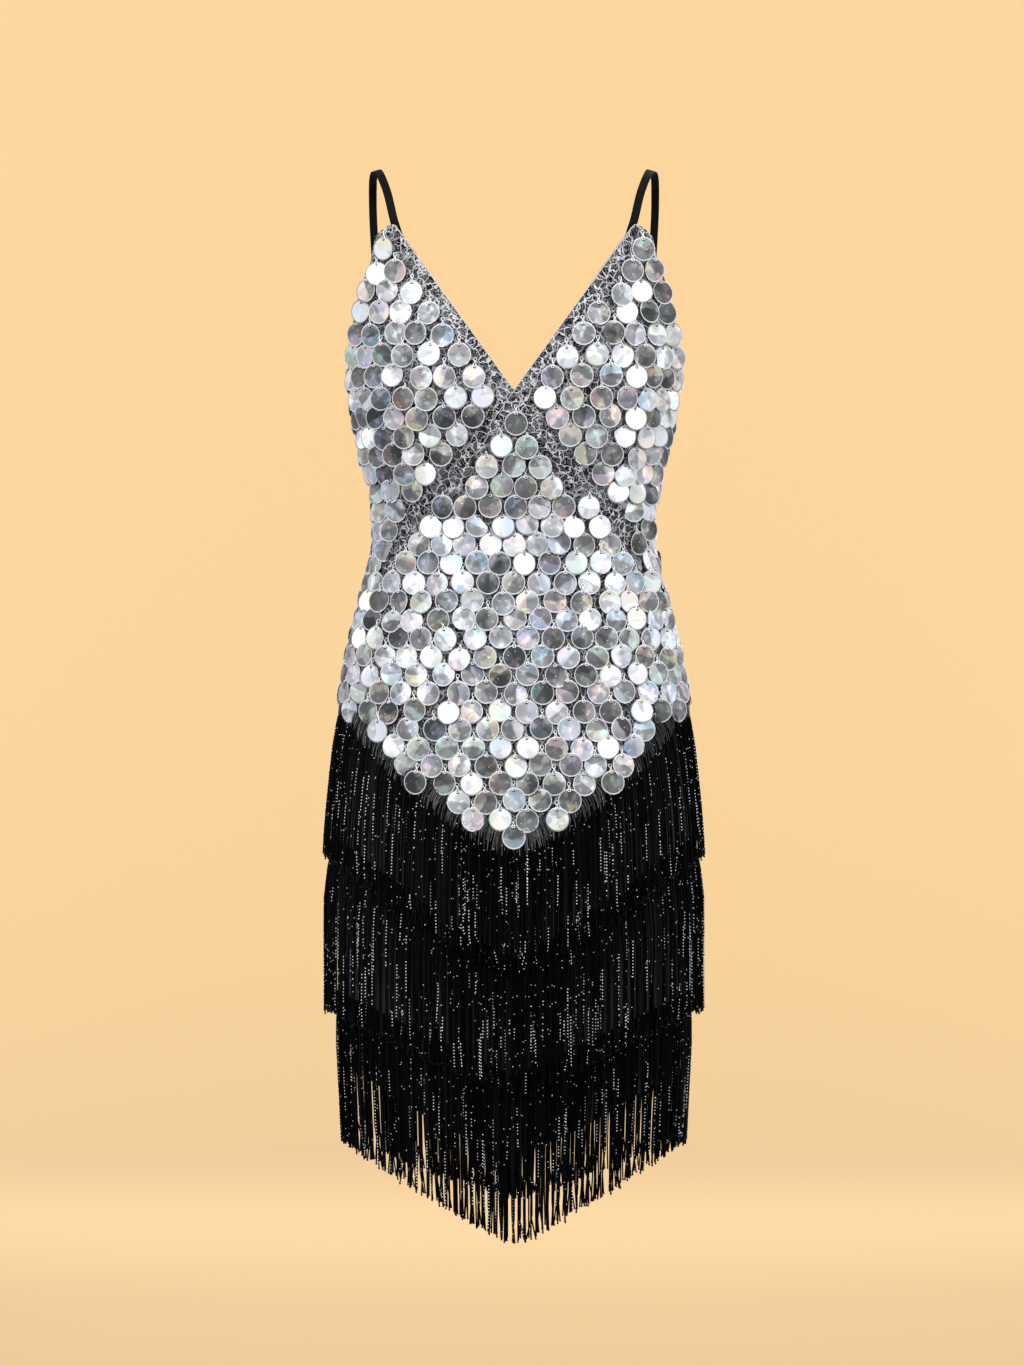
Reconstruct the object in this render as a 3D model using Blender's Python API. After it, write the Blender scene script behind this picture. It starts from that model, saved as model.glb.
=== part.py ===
"""Fringe showgirl dress: a disc-covered V-neck bodice over a knit skirt with three tiers of fringe.

Run it with: blender --background --python part.py
Metres, +Z up. The front faces -Y and the wearer's left is at +X.
The origin is midway between the tops of the two shoulder straps.
"""

import math
import random
from collections import namedtuple

import bmesh
import bpy
from mathutils import Vector

MM = 0.001  # metres in a millimetre; every length below is in millimetres

# Cloth
WALL = 1.8
SEAM_GAP = 0.4
SLANTED_SEAM_GAP = 0.6  # measured upright, so about 0.35 mm square to a slanted seam
PANEL_STEP = 6  # degrees between the columns of points on a panel
CUP_ROWS = 12
FRONT_ROWS = 12
BACK_ROWS = 14
SKIRT_ROWS = 5

# The general hollow figure that the garment is cut for
Level = namedtuple("Level", "height half_width front_depth back_depth")
FIGURE = (
    Level(30.0, 150.0, 82.0, 80.0),
    Level(-50.0, 150.0, 92.0, 86.0),
    Level(-110.0, 148.5, 99.0, 94.0),
    Level(-166.0, 145.0, 104.0, 98.0),
    Level(-246.0, 131.5, 101.0, 97.0),
    Level(-287.0, 122.0, 95.0, 90.0),
    Level(-325.0, 120.5, 90.0, 86.0),
    Level(-365.0, 129.0, 94.0, 94.0),
    Level(-430.0, 145.5, 102.0, 110.0),
    Level(-520.0, 154.0, 109.0, 119.0),
    Level(-600.0, 158.0, 112.0, 119.0),
    Level(-740.0, 153.0, 110.0, 113.0),
    Level(-960.0, 143.0, 103.0, 104.0),
)
SECTION_POWER = 2.3  # 2 is an ellipse; a little more is fuller at the corners
CUP_FULLNESS = 15.0  # how far the cut of the cups stands out
CUP_ANGLE = 38.0
CUP_HEIGHT = -188.0
CUP_ANGLE_SPREAD = 17.0
CUP_HEIGHT_SPREAD = 45.0

# Neckline, armhole and the slanted seam under the cups
NECK_POINT = -194.0
NECK_SLOPE = 1.39
CUP_TIP = -50.0
TIP_ANGLE = 60
NECK_BAND_DROP = 18.0  # a 10.5 mm band, measured upright on its slope
UNDERARM = -163.0
ARMHOLE_RISE = 103.0
ARMHOLE_TOP_ANGLE = 63.5
ARMHOLE_CURVE = 2.2
UNDER_CUP_TOP = -205.0
UNDER_CUP_SLOPE = 1.23
CUP_INNER_ANGLE = 2

# Lines round the body: level at the side seams, and how far the middles drop below it
Line = namedtuple("Line", "side front_drop back_drop curve")
BACK_TOP = Line(UNDERARM, 0.0, 42.0, 3.0)
BODICE_HEM = Line(-456.0, 123.0, 74.0, 1.55)
SKIRT_HEM = Line(-782.0, 80.0, 48.0, 1.4)

# Fringe: each tier's head and foot, and how far its locks stand out from the skirt
Tier = namedtuple("Tier", "name head foot knee_out foot_out")
TIERS = (
    Tier("fringe_upper", Line(-457.0, 123.0, 74.0, 1.55), Line(-599.0, 108.0, 65.0, 1.25), 4.0, 7.5),
    Tier("fringe_middle", Line(-583.0, 107.0, 64.0, 1.25), Line(-735.0, 78.0, 47.0, 1.05), 7.0, 11.5),
    Tier("fringe_lower", Line(-720.0, 75.0, 45.0, 1.05), Line(-850.0, 89.0, 54.0, 1.2), 2.0, 1.4),
)
LOCKS = 80  # in each tier
LOCK_SHARE = 0.74  # of its pitch; the rest is the slit to the next lock
HEAD_WIDTH = 11.0
HEAD_OUT = 0.5
HEAD_THICKNESS = 1.5
LOCK_THICKNESS = 3.0
FOOT_THICKNESS = 2.2
KNEE_SHARE = 0.3  # of a lock's length
FOOT_NARROWING = 0.86
UNEVEN_FOOT = 5.0
SWAY = 0.35  # degrees

# Straps: a flat ribbon over each shoulder
STRAP_WIDTH = 6.4
STRAP_THICKNESS = 1.0
STRAP_TUCK = 0.6
STRAP_LEAN = 0.55  # how much the ribbon's face turns out to the side
STRAP_UPTURN = 1.5  # how much it turns up, above STRAP_UPTURN_FROM
STRAP_UPTURN_FROM = -60.0
Stop = namedtuple("Stop", "x y z")
OVER_SHOULDER = (
    Stop(107.5, -63.5, -44.0),
    Stop(111.5, -50.0, -21.0),
    Stop(116.0, -26.0, -5.0),
    Stop(119.5, -3.0, 0.0),
    Stop(122.0, 18.0, -4.0),
    Stop(123.5, 36.0, -18.0),
    Stop(123.5, 48.0, -45.0),
    Stop(121.0, 56.0, -92.0),
    Stop(115.5, 62.5, -143.0),
)
FRONT_TUCKS = (-72.0, -58.0)  # heights of the stops behind the cup
FRONT_TUCK_X = 104.5
BACK_TUCKS = (-179.0, -203.0)  # heights of the stops inside the back
BACK_TUCK_X = 109.0

Look = namedtuple("Look", "color roughness metallic")
SILVER_CLOTH = Look((0.42, 0.43, 0.45, 1.0), 0.45, 0.6)
BLACK_SATIN = Look((0.012, 0.012, 0.013, 1.0), 0.35, 0.0)
BLACK_KNIT = Look((0.015, 0.015, 0.016, 1.0), 0.8, 0.0)
BLACK_BEADS = Look((0.02, 0.02, 0.022, 1.0), 0.25, 0.0)


def clear_scene():
    for item in list(bpy.data.objects):
        bpy.data.objects.remove(item, do_unlink=True)


def figure_at(height):
    """The figure's half width and depths at a height, on a smooth curve through FIGURE."""
    last = len(FIGURE) - 1
    index = 0
    while index < last - 1 and height < FIGURE[index + 1].height:
        index += 1
    before = FIGURE[max(index - 1, 0)]
    low, high = FIGURE[index], FIGURE[index + 1]
    after = FIGURE[min(index + 2, last)]
    span = high.height - low.height
    part = min(max((height - low.height) / span, 0.0), 1.0)
    sizes = []
    for column in (1, 2, 3):
        slope_low = (high[column] - before[column]) / (high.height - before.height) * span
        slope_high = (after[column] - low[column]) / (after.height - low.height) * span
        rise = high[column] - low[column]
        bend = (slope_low + slope_high - 2 * rise) * part + 3 * rise - 2 * slope_low - slope_high
        sizes.append(low[column] + part * (slope_low + part * bend))
    return sizes


def round_body(angle, height):
    """A point of the outer cloth. Angle 0 is the middle of the front, 90 the wearer's left side."""
    half_width, front_depth, back_depth = figure_at(height)
    turn = math.radians(angle)
    depth = front_depth if math.cos(turn) > 0 else back_depth
    reach = (abs(math.sin(turn)) / half_width) ** SECTION_POWER
    reach += (abs(math.cos(turn)) / depth) ** SECTION_POWER
    radius = reach ** (-1 / SECTION_POWER)
    around = (abs(angle) - CUP_ANGLE) / CUP_ANGLE_SPREAD
    along = (height - CUP_HEIGHT) / CUP_HEIGHT_SPREAD
    radius += CUP_FULLNESS * math.exp(-0.5 * (around ** 2 + along ** 2))
    return Vector((radius * math.sin(turn), -radius * math.cos(turn), height))


def outward(angle, height):
    """The direction square to the outer cloth."""
    across = round_body(angle + 0.5, height) - round_body(angle - 0.5, height)
    down = round_body(angle, height - 2.0) - round_body(angle, height + 2.0)
    return down.cross(across).normalized()


def laid_on(angle, height, out):
    """A point that stands out from the outer cloth, or lies inside it where out is negative."""
    return round_body(angle, height) + outward(angle, height) * out


def on_line(line, angle):
    """The height of a line round the body at an angle."""
    half_width = figure_at(line.side)[0]
    share = min(abs(round_body(angle, line.side).x) / half_width, 1.0)
    drop = line.front_drop if math.cos(math.radians(angle)) > 0 else line.back_drop
    return line.side - drop * (1 - share ** line.curve)


def slanted(angle, start, slope):
    """The height where a straight slanted line, seen from the front, crosses an angle."""
    height = start
    for _ in range(8):
        height = start + slope * abs(round_body(angle, height).x)
    return height


def neck_edge(angle):
    return min(slanted(angle, NECK_POINT, NECK_SLOPE), CUP_TIP)


def armhole(angle):
    share = (abs(angle) - ARMHOLE_TOP_ANGLE) / (90.0 - ARMHOLE_TOP_ANGLE)
    return UNDERARM + ARMHOLE_RISE * max(1 - share, 0.0) ** ARMHOLE_CURVE


def neck_band_foot(angle):
    return neck_edge(angle) - NECK_BAND_DROP


def cup_top(angle):
    if abs(angle) <= TIP_ANGLE:
        return neck_band_foot(angle) - SLANTED_SEAM_GAP
    return armhole(angle)


def under_cup(angle):
    return slanted(angle, UNDER_CUP_TOP, -UNDER_CUP_SLOPE)


def front_top(angle):
    return min(under_cup(angle), neck_band_foot(angle)) - SLANTED_SEAM_GAP


def back_top(angle):
    return on_line(BACK_TOP, angle)


def bodice_hem(angle):
    return on_line(BODICE_HEM, angle)


def skirt_top(angle):
    return bodice_hem(angle) - SLANTED_SEAM_GAP


def skirt_hem(angle):
    return on_line(SKIRT_HEM, angle)


def material_for(name, look):
    """A Principled material of the part's own."""
    material = bpy.data.materials.new(name)
    material.use_nodes = True
    shader = material.node_tree.nodes["Principled BSDF"]
    shader.inputs["Base Color"].default_value = look.color
    shader.inputs["Roughness"].default_value = look.roughness
    shader.inputs["Metallic"].default_value = look.metallic
    return material


def two_skinned(name, outer, inner, patches, look, columns_round=0):
    """A closed wall from two skins of points, each a dictionary by (column, row).

    Columns run round the body and rows run down. Where columns_round is set, the last
    column meets the first. An edge with no patch beyond it is closed from skin to skin.
    """
    bm = bmesh.new()
    made = {}

    def vertex(skin, key):
        column, row = key
        if columns_round:
            column %= columns_round
        mark = (skin is outer, column, row)
        if mark not in made:
            made[mark] = bm.verts.new(skin[column, row] * MM)
        return made[mark]

    def neighbour(column, row):
        return (column % columns_round if columns_round else column, row) in patches

    for column, row in sorted(patches):
        corners = [(column, row), (column, row + 1), (column + 1, row + 1), (column + 1, row)]
        beyond = [(column - 1, row), (column, row + 1), (column + 1, row), (column, row - 1)]
        bm.faces.new([vertex(outer, key) for key in corners])
        bm.faces.new([vertex(inner, key) for key in reversed(corners)])
        for index, next_patch in enumerate(beyond):
            if not neighbour(*next_patch):
                start, end = corners[index], corners[(index + 1) % 4]
                rim = [(outer, end), (outer, start), (inner, start), (inner, end)]
                bm.faces.new([vertex(skin, key) for skin, key in rim])
    bmesh.ops.triangulate(bm, faces=bm.faces[:])
    mesh = bpy.data.meshes.new(name)
    bm.to_mesh(mesh)
    bm.free()
    mesh.shade_smooth()
    mesh.set_sharp_from_angle(angle=math.radians(40))
    mesh.materials.append(material_for(name, look))
    piece = bpy.data.objects.new(name, mesh)
    bpy.data.collections["fringe_showgirl_dress"].objects.link(piece)


def panel(name, angles, top, bottom, rows, look):
    """A cloth panel between two lines, with its outer skin on the body and its wall inside."""
    outer, inner = {}, {}
    for column, angle in enumerate(angles):
        high, low = top(angle), bottom(angle)
        for row in range(rows + 1):
            height = high + (low - high) * row / rows
            outer[column, row] = round_body(angle, height)
            inner[column, row] = laid_on(angle, height, -WALL)
    patches = {(column, row) for column in range(len(angles) - 1) for row in range(rows)}
    two_skinned(name, outer, inner, patches, look)


def side_gap():
    """Half of a side seam's gap, in degrees."""
    return math.degrees(SEAM_GAP / 2 / figure_at(BODICE_HEM.side)[0])


def quarter(first, last):
    """Whole angles of panel columns from one to the other, in even steps."""
    return [float(angle) for angle in range(first, last + 1, PANEL_STEP)]


def on_side(side, angles):
    """The same angles on the wearer's left (1) or right (-1), always running the same way."""
    return sorted(side * angle for angle in angles)


def bodice():
    side_seam = 90.0 - side_gap()
    inner_columns = [float(CUP_INNER_ANGLE)] + quarter(PANEL_STEP, 90 - PANEL_STEP)
    middle_gap = math.degrees(SEAM_GAP / 2 / figure_at(NECK_POINT)[1])
    for side, word in ((1, "left"), (-1, "right")):
        band = [middle_gap, float(CUP_INNER_ANGLE)] + quarter(PANEL_STEP, TIP_ANGLE)
        panel("neck_band_" + word, on_side(side, band), neck_edge, neck_band_foot, 1, SILVER_CLOTH)
        cup = inner_columns + [side_seam]
        panel("cup_" + word, on_side(side, cup), cup_top, under_cup, CUP_ROWS, SILVER_CLOTH)
    half = inner_columns + [side_seam]
    front = on_side(-1, half) + [0.0] + half
    panel("front_body", front, front_top, bodice_hem, FRONT_ROWS, SILVER_CLOTH)
    panel("back_body", back_columns(), back_top, bodice_hem, BACK_ROWS, SILVER_CLOTH)


def back_columns():
    side_seam = 90.0 + side_gap()
    return [side_seam] + quarter(90 + PANEL_STEP, 270 - PANEL_STEP) + [360.0 - side_seam]


def skirt():
    side_seam = 90.0 - side_gap()
    front = [-side_seam] + quarter(PANEL_STEP - 90, 90 - PANEL_STEP) + [side_seam]
    panel("skirt_front", front, skirt_top, skirt_hem, SKIRT_ROWS, BLACK_KNIT)
    panel("skirt_back", back_columns(), skirt_top, skirt_hem, SKIRT_ROWS, BLACK_KNIT)


def strap_stops():
    """The left strap's centre line and the way its face points, from the cup to the back."""
    inside = -(WALL + STRAP_TUCK + STRAP_THICKNESS / 2)
    stops = []
    for height in FRONT_TUCKS:
        angle = angle_at(FRONT_TUCK_X, height, True)
        stops.append((laid_on(angle, height, inside), outward(angle, height)))
    for stop in OVER_SHOULDER:
        rise = max(stop.z - STRAP_UPTURN_FROM, 0.0) * STRAP_UPTURN
        away = Vector((stop.x * STRAP_LEAN, stop.y, rise))
        stops.append((Vector(stop), away))
    for height in BACK_TUCKS:
        angle = angle_at(BACK_TUCK_X, height, False)
        stops.append((laid_on(angle, height, inside), outward(angle, height)))
    return stops


def angle_at(x, height, front):
    """The angle where the body's half width from the middle is x."""
    low, high = (0.0, 90.0) if front else (180.0, 90.0)
    for _ in range(30):
        middle = (low + high) / 2
        if abs(round_body(middle, height).x) < x:
            low = middle
        else:
            high = middle
    return (low + high) / 2


def strap(name, side):
    """A ribbon whose flat side lies on the shoulder."""
    mirror = Vector((side, 1, 1))
    stops = [(stop * mirror, away * mirror) for stop, away in strap_stops()]
    outer, inner = {}, {}
    for row, (stop, away) in enumerate(stops):
        before = stops[max(row - 1, 0)][0]
        after = stops[min(row + 1, len(stops) - 1)][0]
        along = (after - before).normalized()
        across = away.cross(along).normalized()
        away = along.cross(across).normalized()
        for column, sign in enumerate((-0.5, 0.5)):
            edge = stop + across * (sign * STRAP_WIDTH)
            outer[column, row] = edge + away * (STRAP_THICKNESS / 2)
            inner[column, row] = edge - away * (STRAP_THICKNESS / 2)
    patches = {(0, row) for row in range(len(stops) - 1)}
    two_skinned(name, outer, inner, patches, BLACK_SATIN)


def fringe(tier, seed):
    """Locks that hang apart from a narrow head, which lies on the skirt as a closed ring."""
    chance = random.Random(seed)
    pitch = 360.0 / LOCKS
    outer, inner = {}, {}
    patches = set()
    for lock in range(LOCKS):
        middle = (lock + 0.5) * pitch
        half = pitch * LOCK_SHARE / 2
        head_top = on_line(tier.head, middle)
        foot = on_line(tier.foot, middle) + chance.uniform(-0.5, 0.5) * UNEVEN_FOOT
        sway = chance.uniform(-1.0, 1.0) * SWAY
        root = head_top - HEAD_WIDTH
        knee = root + (foot - root) * KNEE_SHARE
        for side in (0, 1):
            column = 2 * lock + side
            sign = 2 * side - 1
            edge = middle + sign * half
            top = on_line(tier.head, edge)
            rows = (
                (edge, top, HEAD_OUT, HEAD_THICKNESS),
                (edge, top - HEAD_WIDTH, HEAD_OUT, HEAD_THICKNESS),
                (edge, knee, tier.knee_out, LOCK_THICKNESS),
                (middle + sway + sign * half * FOOT_NARROWING, foot, tier.foot_out, FOOT_THICKNESS),
            )
            for row, (angle, height, out, thickness) in enumerate(rows):
                outer[column, row] = laid_on(angle, height, out + thickness)
                inner[column, row] = laid_on(angle, height, out)
        patches.update({(2 * lock, 0), (2 * lock + 1, 0), (2 * lock, 1), (2 * lock, 2)})
    two_skinned(tier.name, outer, inner, patches, BLACK_BEADS, columns_round=2 * LOCKS)


def main():
    clear_scene()
    collection = bpy.data.collections.new("fringe_showgirl_dress")
    bpy.context.scene.collection.children.link(collection)
    bodice()
    skirt()
    strap("strap_left", 1)
    strap("strap_right", -1)
    for seed, tier in enumerate(TIERS, start=1):
        fringe(tier, seed)


main()
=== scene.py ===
"""Looks of the fringe showgirl dress: disc-covered silver bodice, knit skirt, beaded fringe."""

import math

import bmesh
import bpy
import numpy as np
from bpy.props import FloatProperty, FloatVectorProperty, IntProperty, PointerProperty
from mathutils import Matrix, Vector


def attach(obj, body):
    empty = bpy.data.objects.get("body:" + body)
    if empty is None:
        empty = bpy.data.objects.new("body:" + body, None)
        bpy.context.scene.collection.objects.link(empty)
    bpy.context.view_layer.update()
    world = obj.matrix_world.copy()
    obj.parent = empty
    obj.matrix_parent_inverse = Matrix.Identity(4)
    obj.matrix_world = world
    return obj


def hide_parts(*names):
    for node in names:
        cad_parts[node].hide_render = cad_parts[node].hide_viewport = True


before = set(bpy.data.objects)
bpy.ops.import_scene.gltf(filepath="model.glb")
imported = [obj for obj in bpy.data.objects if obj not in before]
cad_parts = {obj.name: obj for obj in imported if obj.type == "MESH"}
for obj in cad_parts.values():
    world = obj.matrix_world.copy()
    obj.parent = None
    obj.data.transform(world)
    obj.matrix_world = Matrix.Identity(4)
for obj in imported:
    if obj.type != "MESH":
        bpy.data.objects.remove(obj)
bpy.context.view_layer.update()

bl_info = {
    "name": "Fringe Showgirl Dress",
    "version": (1, 0, 0),
    "blender": (4, 5, 0),
    "location": "View3D > Sidebar > Dress",
    "description": "Builds the cloth, discs, straps and beaded fringe of a showgirl dress",
    "category": "Object",
}

MM = 0.001
BODY = "root"
WALL = 1.8  # millimetres, the cloth's thickness
MAP_RADIUS = 0.12  # metres, of the round form that the cloth's map is unrolled from
SLOPE_ANGLE, SLOPE_HEIGHT = 0.5, 2.0  # from a point to those that give the slope there
SETTLING_ROUNDS = 8  # rounds that bring a point onto its line
FIRST_REACH = 100.0  # millimetres, the body's depth in front before the first round

# The general hollow figure: height, half width, depth in front and depth behind, in millimetres
FIGURE = np.array((
    (30.0, 150.0, 82.0, 80.0),
    (-50.0, 150.0, 92.0, 86.0),
    (-110.0, 148.5, 99.0, 94.0),
    (-166.0, 145.0, 104.0, 98.0),
    (-246.0, 131.5, 101.0, 97.0),
    (-287.0, 122.0, 95.0, 90.0),
    (-325.0, 120.5, 90.0, 86.0),
    (-365.0, 129.0, 94.0, 94.0),
    (-430.0, 145.5, 102.0, 110.0),
    (-520.0, 154.0, 109.0, 119.0),
    (-600.0, 158.0, 112.0, 119.0),
    (-740.0, 153.0, 110.0, 113.0),
    (-960.0, 143.0, 103.0, 104.0),
))
SECTION_POWER = 2.3
CUP_FULLNESS = 15.0
CUP_ANGLE, CUP_ANGLE_SPREAD = 38.0, 17.0
CUP_HEIGHT, CUP_HEIGHT_SPREAD = -188.0, 45.0

# Edges and seams, as the solids have them
SEAM_GAP = 0.06
SLANTED_SEAM_GAP = 0.05
NECK_POINT, NECK_SLOPE = -194.0, 1.39
CUP_TIP, TIP_START, TIP_ROUNDING = -47.5, 103.0, 0.035
TIP_ANGLE, TIP_TURN_IN = 65.0, 1.8
TIP_LEVEL = -50.0
TIP_EASE = 3.0  # degrees from the band's end to the plain armhole
NECK_BAND_DROP = 18.0
UNDERARM, ARMHOLE_RISE = -163.0, 103.0
ARMHOLE_TOP_ANGLE, ARMHOLE_CURVE = 63.5, 2.2
UNDER_CUP_TOP, UNDER_CUP_SLOPE = -205.0, 1.23
CUP_INNER_ANGLE = 2.0
# Lines round the body: height at the side, drop in front, drop behind, curve
BACK_TOP = (UNDERARM, 0.0, 42.0, 3.0)
BODICE_HEM = (-456.0, 123.0, 74.0, 1.55)
SKIRT_HEM = (-782.0, 80.0, 48.0, 1.4)
# Tiers: head line, foot line, how far the strands stand out at the knee and at the foot
TIERS = {
    "fringe_upper": ((-457.0, 123.0, 74.0, 1.55), (-599.0, 108.0, 65.0, 1.25), 4.0, 7.5),
    "fringe_middle": ((-583.0, 107.0, 64.0, 1.25), (-735.0, 78.0, 47.0, 1.05), 7.0, 11.5),
    "fringe_lower": ((-720.0, 75.0, 45.0, 1.05), (-850.0, 89.0, 54.0, 1.2), 2.0, 1.4),
}
KNEE_SHARE = 0.3
HEAD_WIDTH = 11.0


# Form of the garment

def figure_at(height):
    """Half width, front depth and back depth at each height, on a smooth curve through FIGURE."""
    height = np.asarray(height, float)
    last = len(FIGURE) - 1
    index = (height[..., None] < FIGURE[1:last, 0]).sum(axis=-1)
    low, high = FIGURE[index], FIGURE[index + 1]
    before, after = FIGURE[np.maximum(index - 1, 0)], FIGURE[np.minimum(index + 2, last)]
    span = (high[..., 0] - low[..., 0])[..., None]
    part = np.clip((height - low[..., 0])[..., None] / span, 0, 1)
    slope_low = (high - before)[..., 1:] / (high - before)[..., :1] * span
    slope_high = (after - low)[..., 1:] / (after - low)[..., :1] * span
    rise = (high - low)[..., 1:]
    bend = (slope_low + slope_high - 2 * rise) * part + 3 * rise - 2 * slope_low - slope_high
    sizes = low[..., 1:] + part * (slope_low + part * bend)
    return sizes[..., 0], sizes[..., 1], sizes[..., 2]


def round_body(angle, height):
    """Points of the outer cloth, in millimetres. Angle 0 is the front, 90 the wearer's left."""
    angle, height = np.broadcast_arrays(np.asarray(angle, float), np.asarray(height, float))
    half_width, front, back = figure_at(height)
    turn = np.radians(angle)
    depth = np.where(np.cos(turn) > 0, front, back)
    reach = (np.abs(np.sin(turn)) / half_width) ** SECTION_POWER
    reach = reach + (np.abs(np.cos(turn)) / depth) ** SECTION_POWER
    around = (np.abs(angle) - CUP_ANGLE) / CUP_ANGLE_SPREAD
    along = (height - CUP_HEIGHT) / CUP_HEIGHT_SPREAD
    radius = reach ** (-1 / SECTION_POWER)
    radius = radius + CUP_FULLNESS * np.exp(-0.5 * (around ** 2 + along ** 2))
    return np.stack((radius * np.sin(turn), -radius * np.cos(turn), height), axis=-1)


def unit(vectors):
    return vectors / np.linalg.norm(vectors, axis=-1, keepdims=True)


def outward(angle, height):
    """Directions square to the outer cloth."""
    angle, height = np.asarray(angle, float), np.asarray(height, float)
    across = round_body(angle + SLOPE_ANGLE, height) - round_body(angle - SLOPE_ANGLE, height)
    down = round_body(angle, height - SLOPE_HEIGHT) - round_body(angle, height + SLOPE_HEIGHT)
    return unit(np.cross(down, across))


def laid_on(angle, height, out):
    """Points that stand out from the outer cloth by a distance."""
    return round_body(angle, height) + outward(angle, height) * np.asarray(out)[..., None]


def on_line(line, angle):
    """The height of a line round the body at each angle."""
    side, front_drop, back_drop, curve = line
    half_width = figure_at(np.float64(side))[0]
    share = np.clip(np.abs(round_body(angle, side)[..., 0]) / half_width, 0, 1)
    drop = np.where(np.cos(np.radians(angle)) > 0, front_drop, back_drop)
    return side - drop * (1 - share ** curve)


def slanted(angle, start, slope):
    """The height where a straight slanted line, seen from the front, crosses each angle."""
    height = np.full(np.shape(angle), start, float)
    for _ in range(SETTLING_ROUNDS):
        height = start + slope * np.abs(round_body(angle, height)[..., 0])
    return height


def neck_edge(angle):
    """The slanted edge of the neckline, which rounds over at the tip under the strap."""
    beyond = np.clip(np.abs(round_body(angle, TIP_LEVEL)[..., 0]) - TIP_START, 0, None)
    return np.minimum(slanted(angle, NECK_POINT, NECK_SLOPE), CUP_TIP - TIP_ROUNDING * beyond ** 2)


def neck_band_foot(angle):
    return neck_edge(angle) - NECK_BAND_DROP


def armhole(angle):
    share = (np.abs(angle) - ARMHOLE_TOP_ANGLE) / (90.0 - ARMHOLE_TOP_ANGLE)
    return UNDERARM + ARMHOLE_RISE * np.clip(1 - share, 0.0, 1.0) ** ARMHOLE_CURVE


def cup_top(angle):
    seam = neck_band_foot(TIP_ANGLE) - SLANTED_SEAM_GAP
    tip_part = (np.abs(angle) - TIP_ANGLE) / TIP_EASE
    edge = armhole(angle)
    eased = seam + (armhole(TIP_ANGLE + TIP_EASE) - seam) * np.clip(tip_part, 0, 1)
    outer = np.where(tip_part < 1, eased, edge)
    return np.where(tip_part <= 0, neck_band_foot(angle) - SLANTED_SEAM_GAP, outer)


def under_cup(angle):
    return slanted(angle, UNDER_CUP_TOP, -UNDER_CUP_SLOPE)


def front_top(angle):
    return np.minimum(under_cup(angle), neck_band_foot(angle)) - SLANTED_SEAM_GAP


def back_top(angle):
    return on_line(BACK_TOP, angle)


def bodice_hem(angle):
    return on_line(BODICE_HEM, angle)


def skirt_top(angle):
    return bodice_hem(angle) - SLANTED_SEAM_GAP


def skirt_hem(angle):
    return on_line(SKIRT_HEM, angle)


def lengths_along(paths):
    """Distances along paths of points, from the start of each."""
    steps = np.linalg.norm(np.diff(paths, axis=-2), axis=-1)
    return np.concatenate((np.zeros((*steps.shape[:-1], 1)), np.cumsum(steps, axis=-1)), axis=-1)


def half_round(height, count=720):
    """Angles and arc lengths from the front middle round the left side to the back middle."""
    angle = np.linspace(0.0, 180.0, count)
    return angle, lengths_along(round_body(angle, height))


# Shader maths: a scale counts cells in a metre, or in half a disc's width on its own map

class Sock:
    """A shader socket that can be used in Python expressions, which add Math nodes."""

    def __init__(self, tree, socket):
        self.tree, self.socket = tree, socket

    def math(self, operation, *others):
        return self.tree.add("ShaderNodeMath", {"operation": operation}, self, *others)

    def __add__(self, other):
        return self.math("ADD", other)

    def __sub__(self, other):
        return self.math("SUBTRACT", other)

    def __rsub__(self, other):
        return self.tree.add("ShaderNodeMath", {"operation": "SUBTRACT"}, other, self)

    def __mul__(self, other):
        return self.math("MULTIPLY", other)

    def __pow__(self, other):
        return self.math("POWER", other)

    __radd__, __rmul__ = __add__, __mul__

    def step(self, low, high):
        """0 below low, 1 above high and smooth between."""
        return self.tree.add(
            "ShaderNodeMapRange", {"interpolation_type": "SMOOTHSTEP"}, self, low, high, 0.0, 1.0)


COLOR_MIX_INPUTS, COLOR_MIX_RESULT = (0, 6, 7), 2  # of a Mix node's sockets, those for colours


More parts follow.
